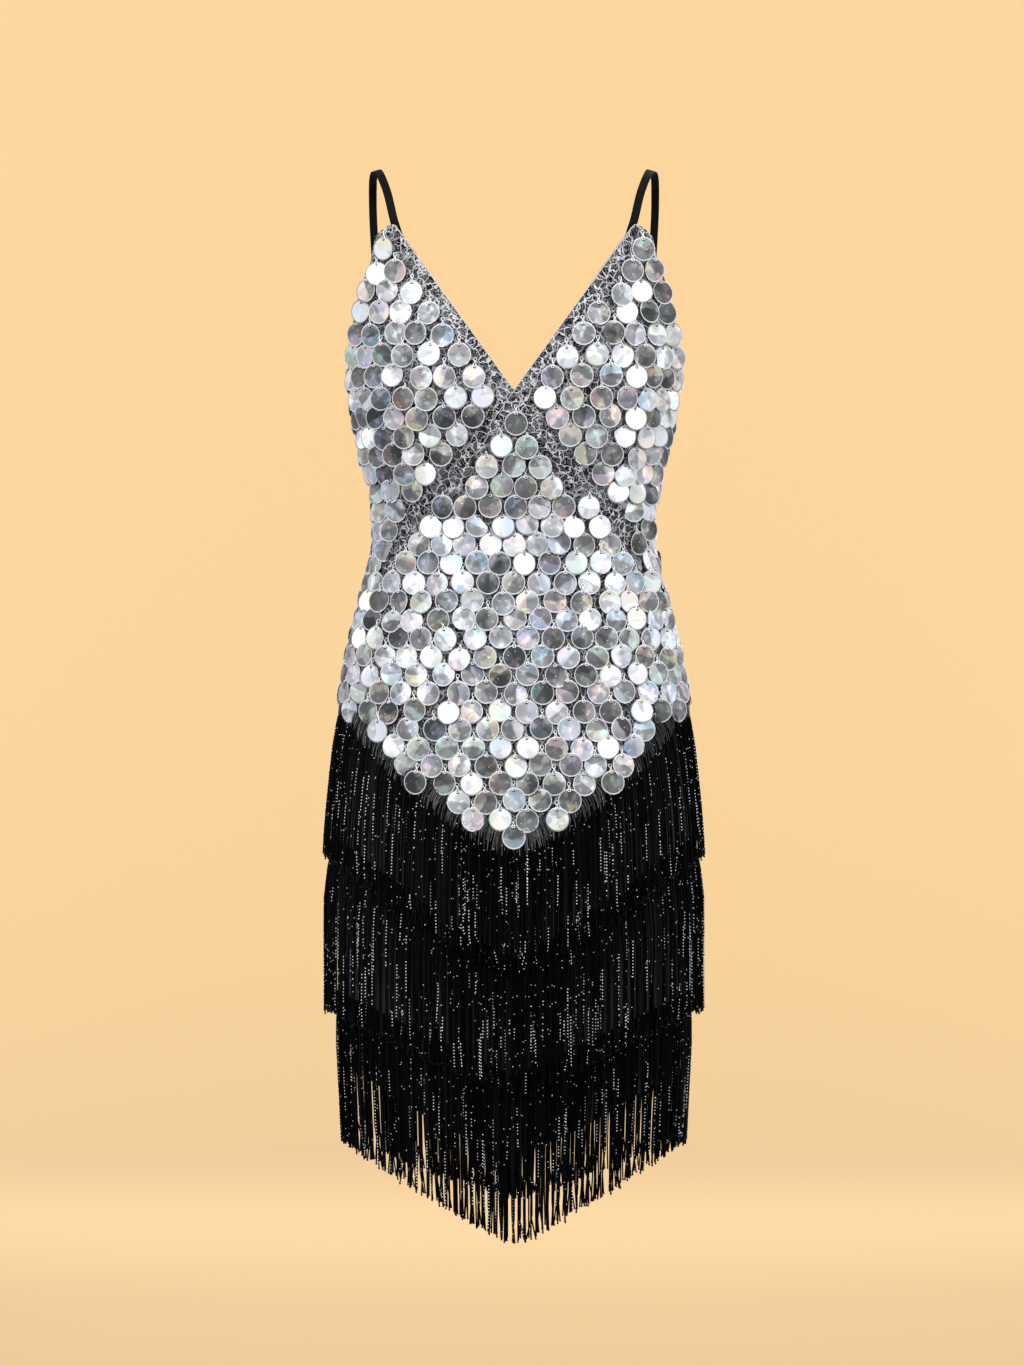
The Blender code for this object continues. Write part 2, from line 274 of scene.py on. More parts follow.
class Finish:
    """A material with its Principled shader and short ways to add nodes."""

    def __init__(self, name, **constants):
        self.material = bpy.data.materials.new(name)
        self.material.use_nodes = True
        self.nodes = self.material.node_tree.nodes
        self.links = self.material.node_tree.links
        self.shader = self.nodes["Principled BSDF"]
        for socket, value in constants.items():
            self.shader.inputs[socket.replace("_", " ")].default_value = value

    def add(self, kind, settings=None, *inputs, output=0, **named):
        """One node: its settings first, then its sockets by order or by name."""
        node = self.nodes.new(kind)
        for key, value in (settings or {}).items():
            setattr(node, key, value)
        pairs = list(zip(node.inputs, inputs))
        pairs += [(node.inputs[key], value) for key, value in named.items()]
        for socket, value in pairs:
            if isinstance(value, Sock):
                self.links.new(value.socket, socket)
            else:
                socket.default_value = value
        return Sock(self, node.outputs[output])

    def place(self):
        return self.add("ShaderNodeTexCoord", output="Object")

    def own_map(self, name):
        return self.add("ShaderNodeUVMap", {"uv_map": name}, output="UV")

    def part(self, vector, axis):
        return self.add("ShaderNodeSeparateXYZ", None, vector, output=axis)

    def attribute(self, name, output="Fac"):
        return self.add("ShaderNodeAttribute", {"attribute_name": name}, output=output)

    def noise(self, vector, scale, detail=1.0, roughness=0.5, output="Fac"):
        return self.add("ShaderNodeTexNoise", None, output=output, Vector=vector, Scale=scale,
                        Detail=detail, Roughness=roughness)

    def ribs(self, vector, axis, scale, uneven):
        """Fine ribs that follow each other along one axis of a map."""
        return self.add("ShaderNodeTexWave", {"wave_type": "BANDS", "bands_direction": axis},
                        output="Fac", Vector=vector, Scale=scale, Distortion=uneven)

    def cells(self, vector, scale, feature="F1"):
        """Distances in a crackle of cells, from their middles or from their edges."""
        return self.add("ShaderNodeTexVoronoi", {"feature": feature}, output="Distance",
                        Vector=vector, Scale=scale)

    def ramp(self, place, *stops):
        """A colour ramp, from the place and the colour of each stop."""
        ramp = self.add("ShaderNodeValToRGB", None, place, output="Color")
        elements = ramp.socket.node.color_ramp.elements
        while len(elements) < len(stops):
            elements.new(1.0)
        for element, (position, color) in zip(elements, stops):
            element.position = position
            element.color = rgba(color)
        return ramp

    def mix(self, factor, first, second):
        """A colour mix, where either colour may be a socket or numbers."""
        node = self.nodes.new("ShaderNodeMix")
        node.data_type = "RGBA"
        for index, value in zip(COLOR_MIX_INPUTS, (factor, first, second)):
            if isinstance(value, Sock):
                self.links.new(value.socket, node.inputs[index])
            else:
                node.inputs[index].default_value = rgba(value)
        return Sock(self, node.outputs[COLOR_MIX_RESULT])

    def vector_math(self, operation, *inputs):
        return self.add("ShaderNodeVectorMath", {"operation": operation}, *inputs)

    def measure(self, operation, *inputs):
        """A Vector Math node whose result is one number."""
        return self.add("ShaderNodeVectorMath", {"operation": operation}, *inputs, output="Value")

    def feed(self, **sockets):
        for name, value in sockets.items():
            self.links.new(value.socket, self.shader.inputs[name.replace("_", " ")])

    def bump(self, height, strength, distance):
        self.feed(Normal=self.add("ShaderNodeBump", None, Strength=strength, Distance=distance,
                                  Height=height, output="Normal"))


def rgba(color):
    return (*color, 1.0)


THREAD_WANDER = 0.009  # metres, how far the silver thread strays
THREAD_LOOPS = 9.0  # rings of loops in each curl
DISC_APART = 40.0  # sets each disc's noise apart from its neighbours'
RAINBOW = (
    (0.0, (0.28, 0.74, 0.76)), (0.18, (0.40, 0.66, 1.0)), (0.38, (0.74, 0.68, 1.0)),
    (0.54, (1.0, 0.62, 0.66)), (0.68, (1.0, 0.68, 0.42)), (0.84, (0.88, 0.86, 0.44)),
    (1.0, (0.42, 0.78, 0.62)),
)


def metallic_cloth(settings):
    """Charcoal knit with raised silver thread that wanders in loops and a crackle of cells."""
    finish = Finish("silver_thread_cloth", IOR=1.5, Specular_IOR_Level=0.15)
    place = finish.place()
    wander = finish.noise(place, 150.0, output="Color")
    offset = finish.vector_math("SUBTRACT", wander, (0.5, 0.5, 0.5))
    offset = finish.vector_math("MULTIPLY", offset, (THREAD_WANDER,) * 3)
    bent = finish.vector_math("ADD", place, offset)
    crackle = 1 - finish.cells(bent, 130.0, "DISTANCE_TO_EDGE").step(0.035, 0.07)
    scribble = 1 - finish.cells(bent, 290.0, "DISTANCE_TO_EDGE").step(0.04, 0.09)
    curl = finish.noise(bent, 120.0, 0.0)
    band = ((curl * THREAD_LOOPS).math("FRACT") - 0.5).math("ABSOLUTE")
    loops = 1 - band.step(0.05, 0.11)
    dense = finish.noise(place, 55.0).step(0.42, 0.62)
    thread = crackle.math("MAXIMUM", loops * 0.65).math("MAXIMUM", scribble * dense * 0.45)
    # Painted shade: the thread is darkened under and between the discs
    thread = thread * (1 - finish.attribute("painted_disc_shade"))
    shade = finish.noise(place, 500.0)
    silver = finish.mix(shade, settings.thread_dark, settings.thread_light)
    ground = finish.mix(dense, settings.ground_dark, settings.ground_light)
    finish.feed(Base_Color=finish.mix(thread, ground, silver), Roughness=0.75 - thread * 0.35)
    finish.bump(thread, 0.5, 0.0006)
    return finish.material


def knit(name, color, light):
    """Black jersey with fine wales and courses."""
    finish = Finish(name, Sheen_Weight=0.12, Sheen_Roughness=0.5)
    around = finish.own_map("cloth")
    wales = finish.ribs(around, "X", 260.0, 0.4)
    courses = finish.ribs(around, "Y", 200.0, 0.6)
    patchy = finish.noise(finish.place(), 25.0, 3.0)
    finish.feed(Base_Color=finish.mix(patchy, color, light),
                Roughness=0.7 + patchy * 0.2)
    finish.bump(wales * 0.6 + courses * 0.4, 0.5, 0.0004)
    return finish.material


def satin(settings):
    """Black ribbon with a soft sheen, fine cross ribs and woven edges."""
    finish = Finish("black_satin_ribbon", Specular_IOR_Level=0.07)
    across = finish.own_map("cloth")
    ribs = finish.ribs(across, "Y", 420.0, 0.3)
    gloss = finish.noise(finish.place(), 70.0, 2.0)
    edge = ((finish.part(across, "X") * 2.0 - 1.0).math("ABSOLUTE")).step(0.7, 0.86)
    finish.feed(Base_Color=finish.mix(edge, settings.satin, settings.satin_edge),
                Roughness=0.42 + gloss * 0.15 + edge * 0.2)
    finish.bump(ribs * 0.5 + edge, 0.4, 0.0003)
    return finish.material


def disc_mirror(settings):
    """Mirror-bright plastic with soft zones of painted reflection and a faint rainbow."""
    finish = Finish("silver_disc", IOR=1.5)
    own = finish.own_map("disc")
    toss = finish.attribute("toss", "Vector")
    turn = finish.attribute("zone", "Vector")
    tone = finish.attribute("tone")
    apart = finish.vector_math("MULTIPLY", toss, (DISC_APART,) * 3)
    turned = finish.vector_math("ADD", own, apart)
    soft = finish.noise(turned, 0.9, 1.0, 0.4)
    waver = (soft - 0.5) * 0.9
    first = finish.measure("DOT_PRODUCT", own, toss) + waver + tone * 0.3 - 0.15
    second = finish.measure("DOT_PRODUCT", own, turn) + waver
    zone = first.step(-0.08, 0.08) - 0.5
    zone_two = second.step(-0.1, 0.25) - 0.5
    patch = finish.noise(turned, 1.7, 1.0, 0.3).step(0.54, 0.62)
    lively = finish.part(toss, "Z") * 0.5 + 0.5
    # Painted reflection: each disc's random tone, split into soft zones, stands in for the light
    # that it reflects
    bright = tone + zone * (lively * 0.28 + 0.05) + zone_two * 0.12 + (soft - 0.5) * 0.24
    bright = bright + (patch - 0.3) * 0.16
    grey = finish.ramp(bright, (0.0, settings.disc_dark), (0.33, settings.disc_grey),
                       (0.66, settings.disc_light), (0.86, settings.disc_white))
    hue = finish.attribute("hue") + second * 0.12 + (soft - 0.5) * 0.4 + patch * 0.22
    strength = finish.attribute("tint") * (first.step(-0.3, 0.35) * 0.75 + patch * 0.45)
    strength = strength * (1.2 - bright * 0.6)
    shine = finish.mix(strength, (1.0, 1.0, 1.0), finish.ramp(hue, *RAINBOW))
    # Painted glints: small warm specks of reflected light
    painted_glint = (1 - finish.cells(turned, 2.0).step(0.06, 0.13)) * 0.6
    tinted = finish.mix(painted_glint, finish.vector_math("MULTIPLY", grey, shine), settings.disc_painted_glint)
    from_middle = finish.measure("LENGTH", own)
    # Painted highlight on the rim of the darker discs; the rim band is also rougher and less
    # metallic
    rim_band_highlight = from_middle.step(0.9, 0.93)
    # Painted shadow: a grey edge on the discs that are painted white
    painted_edge_shadow = from_middle.step(0.895, 0.925)
    white = bright.step(0.55, 0.75)
    pierced = finish.measure("DISTANCE", own, (0.0, DISC_HOLE_UP, 0.0))
    hole = 1 - pierced.step(0.11, 0.15)
    painted = finish.mix(rim_band_highlight * (1 - white) * 0.6, tinted, settings.disc_rim_highlight)
    painted = finish.mix(painted_edge_shadow * white * 0.9, painted, settings.disc_grey)
    finish.feed(Base_Color=finish.mix(hole, painted, settings.disc_dark),
                Metallic=0.32 - rim_band_highlight * 0.3,
                Roughness=0.27 + soft * 0.12 + rim_band_highlight * 0.2)
    finish.bump(soft, 0.06, 0.001)
    return finish.material


def silver_thread(name, dark, light):
    """Round silver thread, a little worn."""
    finish = Finish(name, IOR=1.45)
    wear = finish.noise(finish.place(), 600.0)
    finish.feed(Base_Color=finish.mix(wear, dark, light),
                Roughness=0.3 + wear * 0.2, Metallic=wear * 0.2)
    finish.bump(wear, 0.3, 0.0002)
    return finish.material


def strand_black(settings):
    """Twisted black thread strung with dark glass: tight spiral rings along each strand."""
    finish = Finish("black_fringe_strand", IOR=1.5, Specular_IOR_Level=0.02)
    rings = (finish.attribute("along").math("FRACT") - 0.5).math("ABSOLUTE")
    grain = finish.noise(finish.place(), 500.0)
    # Lighter strands, varied by grain, are a painted highlight that stands for the thread's gloss
    tone = finish.attribute("shade") ** 2.5 * (grain * 1.4 + 0.1)
    finish.feed(Base_Color=finish.mix(tone, settings.strand_dark, settings.strand_painted_highlight),
                Roughness=0.5 + grain * 0.2 + rings * 0.2)
    finish.bump(1 - rings * 2.0, 0.5, 0.0003)
    return finish.material


def head_thread(settings):
    """The greyer, finer threads at the head of the upper tier."""
    finish = Finish("black_head_thread", IOR=1.5, Specular_IOR_Level=0.35)
    grain = finish.noise(finish.place(), 300.0)
    tone = finish.attribute("shade") ** 2.0 * grain * 1.6
    finish.feed(Base_Color=finish.mix(tone, settings.strand_dark, settings.comb_light),
                Roughness=0.35 + grain * 0.2)
    return finish.material


def bead_glass(settings):
    """Glossy beads: some nearly black, most painted bright as a painted glint of light on the glass.
    """
    finish = Finish("fringe_bead", IOR=1.55, Specular_IOR_Level=0.3)
    grain = finish.noise(finish.place(), 400.0)
    bright = finish.attribute("glint").step(0.3, 0.7)
    finish.feed(Base_Color=finish.mix(bright, settings.bead_dark, settings.bead_painted_glint),
                Roughness=0.15 + grain * 0.1, Metallic=bright * 0.1)
    return finish.material


def plain_paint(name, color, roughness):
    finish = Finish(name)
    cloud = finish.noise(finish.place(), 0.6, 2.0)
    soft = tuple(channel * 0.985 for channel in color)
    finish.feed(Base_Color=finish.mix(cloud, color, soft),
                Roughness=roughness + cloud * 0.05)
    return finish.material


# Meshes

def put_in_scene(name, data):
    item = bpy.data.objects.new(name, data)
    bpy.context.scene.collection.objects.link(item)
    return item


def new_piece(name, points, faces, material, body=BODY):
    """A mesh object in metres, at the origin, riding on a body."""
    mesh = bpy.data.meshes.new(name)
    mesh.from_pydata((np.asarray(points) * MM).tolist(), [], faces)
    mesh.update()
    mesh.materials.append(material)
    mesh.shade_smooth()
    piece = put_in_scene(name, mesh)
    if body:
        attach(piece, body)
    return piece


def two_skins(outer, inner):
    """Points and faces of a closed wall from two grids of points, columns by rows."""
    columns, rows = outer.shape[:2]
    points = np.concatenate((outer.reshape(-1, 3), inner.reshape(-1, 3)))
    index = np.arange(columns * rows).reshape(columns, rows)
    under = index + columns * rows
    top_left, low_left = index[:-1, :-1], index[:-1, 1:]
    low_right, top_right = index[1:, 1:], index[1:, :-1]
    quads = [np.stack((top_left, low_left, low_right, top_right), -1).reshape(-1, 4)]
    back = np.stack((top_right, low_right, low_left, top_left), -1).reshape(-1, 4)
    quads.append(back + columns * rows)
    rims = (
        (index[0, :], under[0, :]), (index[:, -1], under[:, -1]),
        (index[::-1, 0], under[::-1, 0]), (index[-1, ::-1], under[-1, ::-1]),
    )
    for edge, back in rims:
        quads.append(np.stack((edge[1:], edge[:-1], back[:-1], back[1:]), -1))
    return points, np.concatenate(quads).tolist()


def side_end():
    """The angle where a front panel ends, just before the side seam."""
    half_width = float(figure_at(np.float64(BODICE_HEM[0]))[0])
    return 90.0 - math.degrees(SEAM_GAP / 2 / half_width)


def cloth_panel(name, angles, top, bottom, rows, material, relief=None, lean=None):
    """A cloth panel between two lines, with a raised or sunk outer skin over a plain inside."""
    share = np.linspace(0.0, 1.0, rows + 1)
    angle = np.broadcast_to(angles[:, None], (len(angles), rows + 1))
    if lean:
        angle = lean(angle, share[None, :])
    height = top(angle) + (bottom(angle) - top(angle)) * share[None, :]
    out = relief(angle, height, share[None, :]) if relief else np.zeros(height.shape)
    points, faces = two_skins(laid_on(angle, height, out), laid_on(angle, height, out * 0 - WALL))
    piece = new_piece(name, points, faces, material)
    add_body_map(piece.data, angle, height)
    return piece, float(panel_area(angle, height))


def add_map(mesh, name, flat):
    """A UV map from a flat place for each point of the mesh."""
    layer = mesh.uv_layers.new(name=name)
    corner = np.empty(len(mesh.loops), np.int32)
    mesh.loops.foreach_get("vertex_index", corner)
    layer.data.foreach_set("uv", flat[corner].astype(np.float32).ravel())


def add_body_map(mesh, angle, height):
    """The cloth's map for both skins of a piece laid on the body."""
    flat = np.stack((np.radians(angle).ravel() * MAP_RADIUS, height.ravel() * MM), -1)
    add_map(mesh, "cloth", np.tile(flat, (2, 1)))


def panel_area(angle, height):
    """The area of a grid of points on the body, in square metres."""
    points = round_body(angle, height) * MM
    across = points[1:, :-1] - points[:-1, :-1]
    down = points[:-1, 1:] - points[:-1, :-1]
    return np.linalg.norm(np.cross(across, down), axis=-1).sum()


# Settings

def color_setting(name, description, default):
    return FloatVectorProperty(name=name, description=description, default=default,
                               size=3, min=0.0, max=1.0, subtype="COLOR")


def length_setting(name, description, default):
    return FloatProperty(name=name, description=description, default=default, min=0.0, unit="LENGTH")


class DressClothSettings(bpy.types.PropertyGroup):
    gather_depth: length_setting(
        "Gather depth", "Depth of the small gathers under the cups", 0.9 * MM)
    gather_pitch: FloatProperty(
        name="Gather pitch", description="Spacing of the gathers, in degrees round the body",
        default=2.6, min=0.5)
    thread_dark: color_setting("Thread, dark", "Shaded silver thread", (0.3, 0.3, 0.32))
    thread_light: color_setting("Thread, light", "Bright silver thread", (0.78, 0.78, 0.8))
    ground_dark: color_setting("Ground, dark", "Charcoal knit", (0.005, 0.005, 0.007))
    ground_light: color_setting("Ground, light", "Greyer knit", (0.014, 0.014, 0.018))
    knit_black: color_setting("Skirt knit", "Black jersey", (0.008, 0.008, 0.009))
    knit_light: color_setting("Skirt knit, worn", "Lighter jersey patches", (0.02, 0.02, 0.021))
    satin: color_setting("Ribbon", "Black satin", (0.0025, 0.0025, 0.003))
    satin_edge: color_setting("Ribbon edge", "Woven edge of the ribbon", (0.0012, 0.0012, 0.0012))


class DressDiscSettings(bpy.types.PropertyGroup):
    diameter: length_setting("Diameter", "Disc diameter", 20.8 * MM)
    row_pitch: length_setting("Row pitch", "Height between the lower rows", 15.6 * MM)
    row_spread: length_setting(
        "Row spread", "Extra height between the rows under the bust", 3.0 * MM)
    column_pitch: length_setting("Column pitch", "Spacing in a row", 24.0 * MM)
    jitter: length_setting("Jitter", "How unevenly the discs are sewn", 1.0 * MM)
    tilt: FloatProperty(
        name="Tilt", description="Largest turn of a disc out of the cloth's plane",
        default=math.radians(13.0), subtype="ANGLE")
    seed: IntProperty(name="Seed", description="Seed of the random turns", default=11)
    # Tones of the painted reflection in the discs' colour, from dark to white
    disc_dark: color_setting("Dark", "Darkest reflected tone", (0.036, 0.038, 0.04))
    disc_grey: color_setting("Grey", "Middle reflected tone", (0.17, 0.175, 0.185))
    disc_light: color_setting("Light", "Light reflected tone", (0.55, 0.57, 0.60))
    disc_white: color_setting("White", "Brightest reflected tone", (0.88, 0.88, 0.89))
    # Colour of the painted glints on the discs
    disc_painted_glint: color_setting("Fleck", "Small warm glints", (0.95, 0.86, 0.74))
    # Colour of the painted highlight on the rim of the darker discs
    disc_rim_highlight: color_setting("Rim", "Moulded rim", (0.80, 0.81, 0.83))
    link_thread: color_setting("Link", "Thread of the links", (0.86, 0.85, 0.86))


class DressFringeSettings(bpy.types.PropertyGroup):
    strands: IntProperty(name="Strands", description="Strands in each tier", default=760, min=10)
    radius: length_setting("Strand radius", "Half the thickness of a strand", 0.68 * MM)
    comb_radius: length_setting(
        "Head thread radius", "Half the thickness of the threads at the hem", 0.36 * MM)
    uneven: length_setting("Uneven ends", "How much strand lengths differ", 5.0 * MM)
    clump: FloatProperty(
        name="Clump width", description="Spacing of the clumps, in degrees round the body",
        default=2.6, min=1.0)
    bead_radius: length_setting("Bead radius", "Half the size of a glass bead", 0.62 * MM)
    bead_pitch: length_setting("Bead pitch", "Spacing of beads along a strand", 2.8 * MM)
    seed: IntProperty(name="Seed", description="Seed of the strands", default=5)
    strand_dark: color_setting("Strand", "Black thread", (0.0008, 0.0008, 0.001))
    # Lighter base for some strands: a painted highlight
    strand_painted_highlight: color_setting("Strand, light", "Greyer thread", (0.009, 0.009, 0.0105))
    comb_light: color_setting("Head threads", "Greyer thread at the hem", (0.2, 0.2, 0.208))
    bead_dark: color_setting("Bead", "Black glass", (0.002, 0.002, 0.003))
    # White base colour that stands in for the beads' glints: a painted glint
    bead_painted_glint: color_setting("Bead, lined", "Glinting beads", (1.0, 1.0, 1.0))


class DressStageSettings(bpy.types.PropertyGroup):
    backdrop: color_setting("Backdrop", "Plain pale backdrop", (0.562, 0.379, 0.182))
    light: FloatProperty(name="Light", description="Strength of the soft lights", default=1.0)
    pixel: length_setting("Pixel", "Size of a photo pixel at the dress", 0.88 * MM)
    distance: length_setting("Camera distance", "From the camera to the dress", 20.0)


SETTINGS = {
    "dress_cloth": DressClothSettings,
    "dress_discs": DressDiscSettings,
    "dress_fringe": DressFringeSettings,
    "dress_stage": DressStageSettings,
}


# Pieces

# Cloth panels: flat cut in metres, rows and degrees between their points, slot, how it is held
PANELS = {
    "neckband": ((0.0125, 0.2), 8, 1.5, "silver_cloth", "stretched"),
    "cup": ((0.20, 0.30), 56, 1.5, "silver_cloth", "stretched"),
    "front_body": ((0.42, 0.38), 64, 1.5, "silver_cloth", "stretched"),
    "back_body": ((0.42, 0.37), 64, 1.5, "silver_cloth", "stretched"),
    "skirt": ((0.46, 0.36), 40, 2.0, "black_knit", "hung"),
}
GATHER_FADE = 14.0  # how soon the gathers fade, in shares of the panel's height


def dress_panel(kind, name, node, reach, edges, cloth, relief=None, lean=None, sign=1):
    """A panel that stands for its solid, which it hides."""
    flat, rows, step, slot, held = PANELS[kind]
    first, last = reach
    count = max(int(round((last - first) / step)), 1)
    angles = np.sort(sign * np.linspace(first, last, count + 1))
    piece, area = cloth_panel(name, angles, *edges, rows, cloth, relief, lean)
    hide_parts(node)


def gathers(settings, edge_at_top):
    """Relief of small uneven gathers that fade away from a seam at the top or the bottom."""
    def relief(angle, height, share):
        near = np.exp(-(share if edge_at_top else 1 - share) * GATHER_FADE)
        wave = np.sin(np.abs(angle) / settings.gather_pitch * 2 * math.pi
                      + 1.7 * np.sin(angle * 0.9) + height * 0.02)
        return settings.gather_depth / MM * near * wave * (0.6 + 0.4 * np.sin(angle * 0.53))
    return relief


class DRESS_OT_bodice(bpy.types.Operator):
    """Cups, neck bands and the front and back of the bodice, as shells on their solids"""
    bl_idname = "dress.bodice"
    bl_label = "Bodice Cloth"

    def execute(self, context):
        settings = context.scene.dress_cloth
        cloth = metallic_cloth(settings)
        side = side_end()
        middle = math.degrees(SEAM_GAP / 2 / float(figure_at(np.float64(NECK_POINT))[1]))
        for sign, word in ((1, "left"), (-1, "right")):
            dress_panel("neckband", "neckband_cloth_" + word, "neck_band_" + word,
                        (middle, TIP_ANGLE), (neck_edge, neck_band_foot), cloth, band_relief,
                        tip_lean, sign)
            dress_panel("cup", "cup_cloth_" + word, "cup_" + word, (CUP_INNER_ANGLE, side),
                        (cup_top, under_cup), cloth, gathers(settings, False), sign=sign)
        band_crossing("neck_crossing_over", 1, CROSSING_OVER, cloth)
        band_crossing("neck_crossing_under", -1, CROSSING_UNDER, cloth)
        edge_threads(silver_thread("neckline_thread", settings.thread_dark, settings.thread_light))
        dress_panel("front_body", "front_body_cloth", "front_body", (-side, side),
                    (front_top, bodice_hem), cloth, gathers(settings, True))
        dress_panel("back_body", "back_body_cloth", "back_body", (180 - side, 180 + side),
                    (back_top, bodice_hem), cloth)
        return {"FINISHED"}


TIP_LEAN_REACH = 12.0  # degrees before the band's end


def tip_lean(angle, share):
    """Draws the band's outer end in towards its top."""
    near = np.clip((np.abs(angle) - TIP_ANGLE + TIP_LEAN_REACH) / TIP_LEAN_REACH, 0, 1)
    return angle - np.sign(angle) * near * (1 - share) * TIP_TURN_IN


def on_front(x, height, out):
    """Points above the front cloth at a distance x from the middle."""
    angle = np.degrees(np.arctan2(x, FIRST_REACH))
    for _ in range(SETTLING_ROUNDS):
        angle = np.degrees(np.arctan2(x, -round_body(angle, height)[..., 1]))
    return laid_on(angle, height, out), angle


# Crossing of the neck bands: from, to and lift, then how softly it ends and its two skins
CROSSING_OVER, CROSSING_UNDER = (-5.0, 25.0, 0.9), (-4.0, 15.0, 0.5)
CROSSING_END, CROSSING_OUT, CROSSING_IN = 6.0, 0.1, 0.3
CROSSING_POINTS = (25, 9)


def band_crossing(name, sign, reach, cloth):
    """One neck band's end, laid on across the other past the point of the V."""
    first, last, lift = reach
    along = np.linspace(first, last, CROSSING_POINTS[0])[:, None]
    share = np.linspace(0, 1, CROSSING_POINTS[1])[None]
    height = NECK_POINT - NECK_SLOPE * along - NECK_BAND_DROP * share
    fade = np.clip((along - first) / CROSSING_END, 0, 1)
    fade = fade * np.clip((last - along) / CROSSING_END, 0, 1)
    out = CROSSING_OUT + lift * fade + band_relief(along, height, share) * fade
    outer, angle = on_front(sign * along + 0 * share, height, out)
    inner, _ = on_front(sign * along + 0 * share, height, out * 0 - CROSSING_IN)
    points, faces = two_skins(outer[::sign], inner[::sign])
    piece = new_piece(name, points, faces, cloth)
    add_body_map(piece.data, angle[::sign], height[::sign])


EDGE_LINES = (
    # side, from x, to x, drop below the neckline's own line, distance out
    (1, 0.3, 105.0, 0.5, 0.35),
    (-1, 0.3, 105.0, 0.5, 0.35),
    (1, -24.0, 0.5, 0.6, 1.25),
    (1, -20.0, 3.0, 17.4, 1.1),
    (-1, -13.0, 0.0, 0.6, 0.9),
    (-1, -11.0, 3.0, 17.4, 0.9),
)
EDGE_THREAD, EDGE_TIP_ROOM, EDGE_POINTS = 0.34, 1.5, 56


def edge_threads(cloth):
    """Raised silver threads along the neckline and along the bands where they cross."""
    paths = []
    for side, first, last, drop, out in EDGE_LINES:
        x = np.linspace(first, last, EDGE_POINTS)
        height = np.minimum(NECK_POINT + NECK_SLOPE * x, CUP_TIP - EDGE_TIP_ROOM) - drop
        paths.append(on_front(side * x, height, out + 0 * x)[0])
    source = lines("edge_lines", np.array(paths))
    piece = strand_tree().run("neckline_threads", source, cloth, Radius=EDGE_THREAD * MM, Sides=5)
    piece.data.shade_smooth()


# The band's turned edge and its stitch line: height or depth, and where across the band
BAND_ROLL, BAND_ROLL_SHARE = 0.4, 0.3
STITCH_DEPTH, STITCH_SHARE, STITCH_WIDTH = 0.45, 0.9, 0.1


def band_relief(angle, height, share):
    """The turned edge stands up a little, with the stitch line pressed in."""
    roll = BAND_ROLL * np.sin(np.clip(share / BAND_ROLL_SHARE, 0, 1) * math.pi)
    stitches = STITCH_DEPTH * np.exp(-((share - STITCH_SHARE) / STITCH_WIDTH) ** 2)
    return roll - stitches + 0 * angle


class DRESS_OT_skirt(bpy.types.Operator):
    """The black knit base under the fringe"""
    bl_idname = "dress.skirt"
    bl_label = "Skirt Base"

    def execute(self, context):
        settings = context.scene.dress_cloth
        cloth = knit("black_skirt_knit", settings.knit_black, settings.knit_light)
        side = side_end()
        for word, middle in (("front", 0.0), ("back", 180.0)):
            dress_panel("skirt", f"skirt_{word}_cloth", "skirt_" + word,
                        (middle - side, middle + side), (skirt_top, skirt_hem), cloth, skirt_folds)
        return {"FINISHED"}


FLUTES, FLUTE_DEPTH = 11, 1.0


def skirt_folds(angle, height, share):
    """Soft flutes that only sink in, so that the fringe's heads stay clear of them."""
    turn = np.radians(angle)
    flute = 0.5 + 0.5 * np.sin(turn * FLUTES + 1.2 * np.sin(turn * 3))
    return -FLUTE_DEPTH * flute * share


def smooth_path(stops, steps):
    """Points on a smooth curve through the stops."""
    stops = np.asarray(stops, float)
    padded = np.concatenate((2 * stops[:1] - stops[1:2], stops, 2 * stops[-1:] - stops[-2:-1]))
    made = []
    for index in range(len(stops) - 1):
        before, start, end, after = padded[index:index + 4]
        for part in np.linspace(0, 1, steps, endpoint=False):
            made.append(0.5 * (2 * start + (end - before) * part
                        + (2 * before - 5 * start + 4 * end - after) * part ** 2
                        + (3 * start - before - 3 * end + after) * part ** 3))
    made.append(stops[-1])
    return np.array(made)


STRAP_WIDTH, STRAP_THICKNESS, STRAP_TUCK = 7.2, 1.0, 0.6
STRAP_STEPS, STRAP_COLUMNS = 8, 9  # points from stop to stop, and across the ribbon
ANGLE_POINTS = 901  # angles tried on one side of the body
STRAP_CROWN, WOVEN_EDGE, WOVEN_EDGE_AT, WOVEN_EDGE_WIDTH = 0.12, 0.1, 0.4, 0.04
STRAP_LEAN, STRAP_UPTURN, STRAP_UPTURN_FROM = 0.22, 1.5, -60.0
OVER_SHOULDER = (
    (105.5, -63.5, -44.0), (111.0, -50.0, -21.0), (117.0, -26.0, -5.0), (121.0, -3.0, 0.0),
    (123.7, 18.0, -4.0), (124.5, 36.0, -18.0), (124.0, 48.0, -45.0), (121.0, 56.0, -92.0),
    (115.5, 62.5, -143.0),
)
FRONT_TUCKS, FRONT_TUCK_X = (-72.0, -58.0), 102.5
BACK_TUCKS, BACK_TUCK_X = (-179.0, -203.0), 109.0


def angle_at(x, height, front):
    """The angle where the body is x from the middle."""
    angles = np.linspace(0 if front else 180, 90, ANGLE_POINTS)
    return float(np.interp(x, np.abs(round_body(angles, height)[:, 0]), angles))


def strap_stops():
    """The left strap's centre line, and the way its face points at each stop."""
    inside = -(WALL + STRAP_TUCK + STRAP_THICKNESS / 2)
    stops, facing = [], []
    for heights, x, front in ((FRONT_TUCKS, FRONT_TUCK_X, True), (BACK_TUCKS, BACK_TUCK_X, False)):
        if not front:
            for stop in OVER_SHOULDER:
                rise = max(stop[2] - STRAP_UPTURN_FROM, 0.0) * STRAP_UPTURN
                stops.append(np.array(stop))
                facing.append(np.array((stop[0] * STRAP_LEAN, stop[1], rise)))
        for height in heights:
            angle = angle_at(x, height, front)
            stops.append(laid_on(angle, height, np.float64(inside)))
            facing.append(outward(angle, height) * 100.0)
    return np.array(stops), np.array(facing)


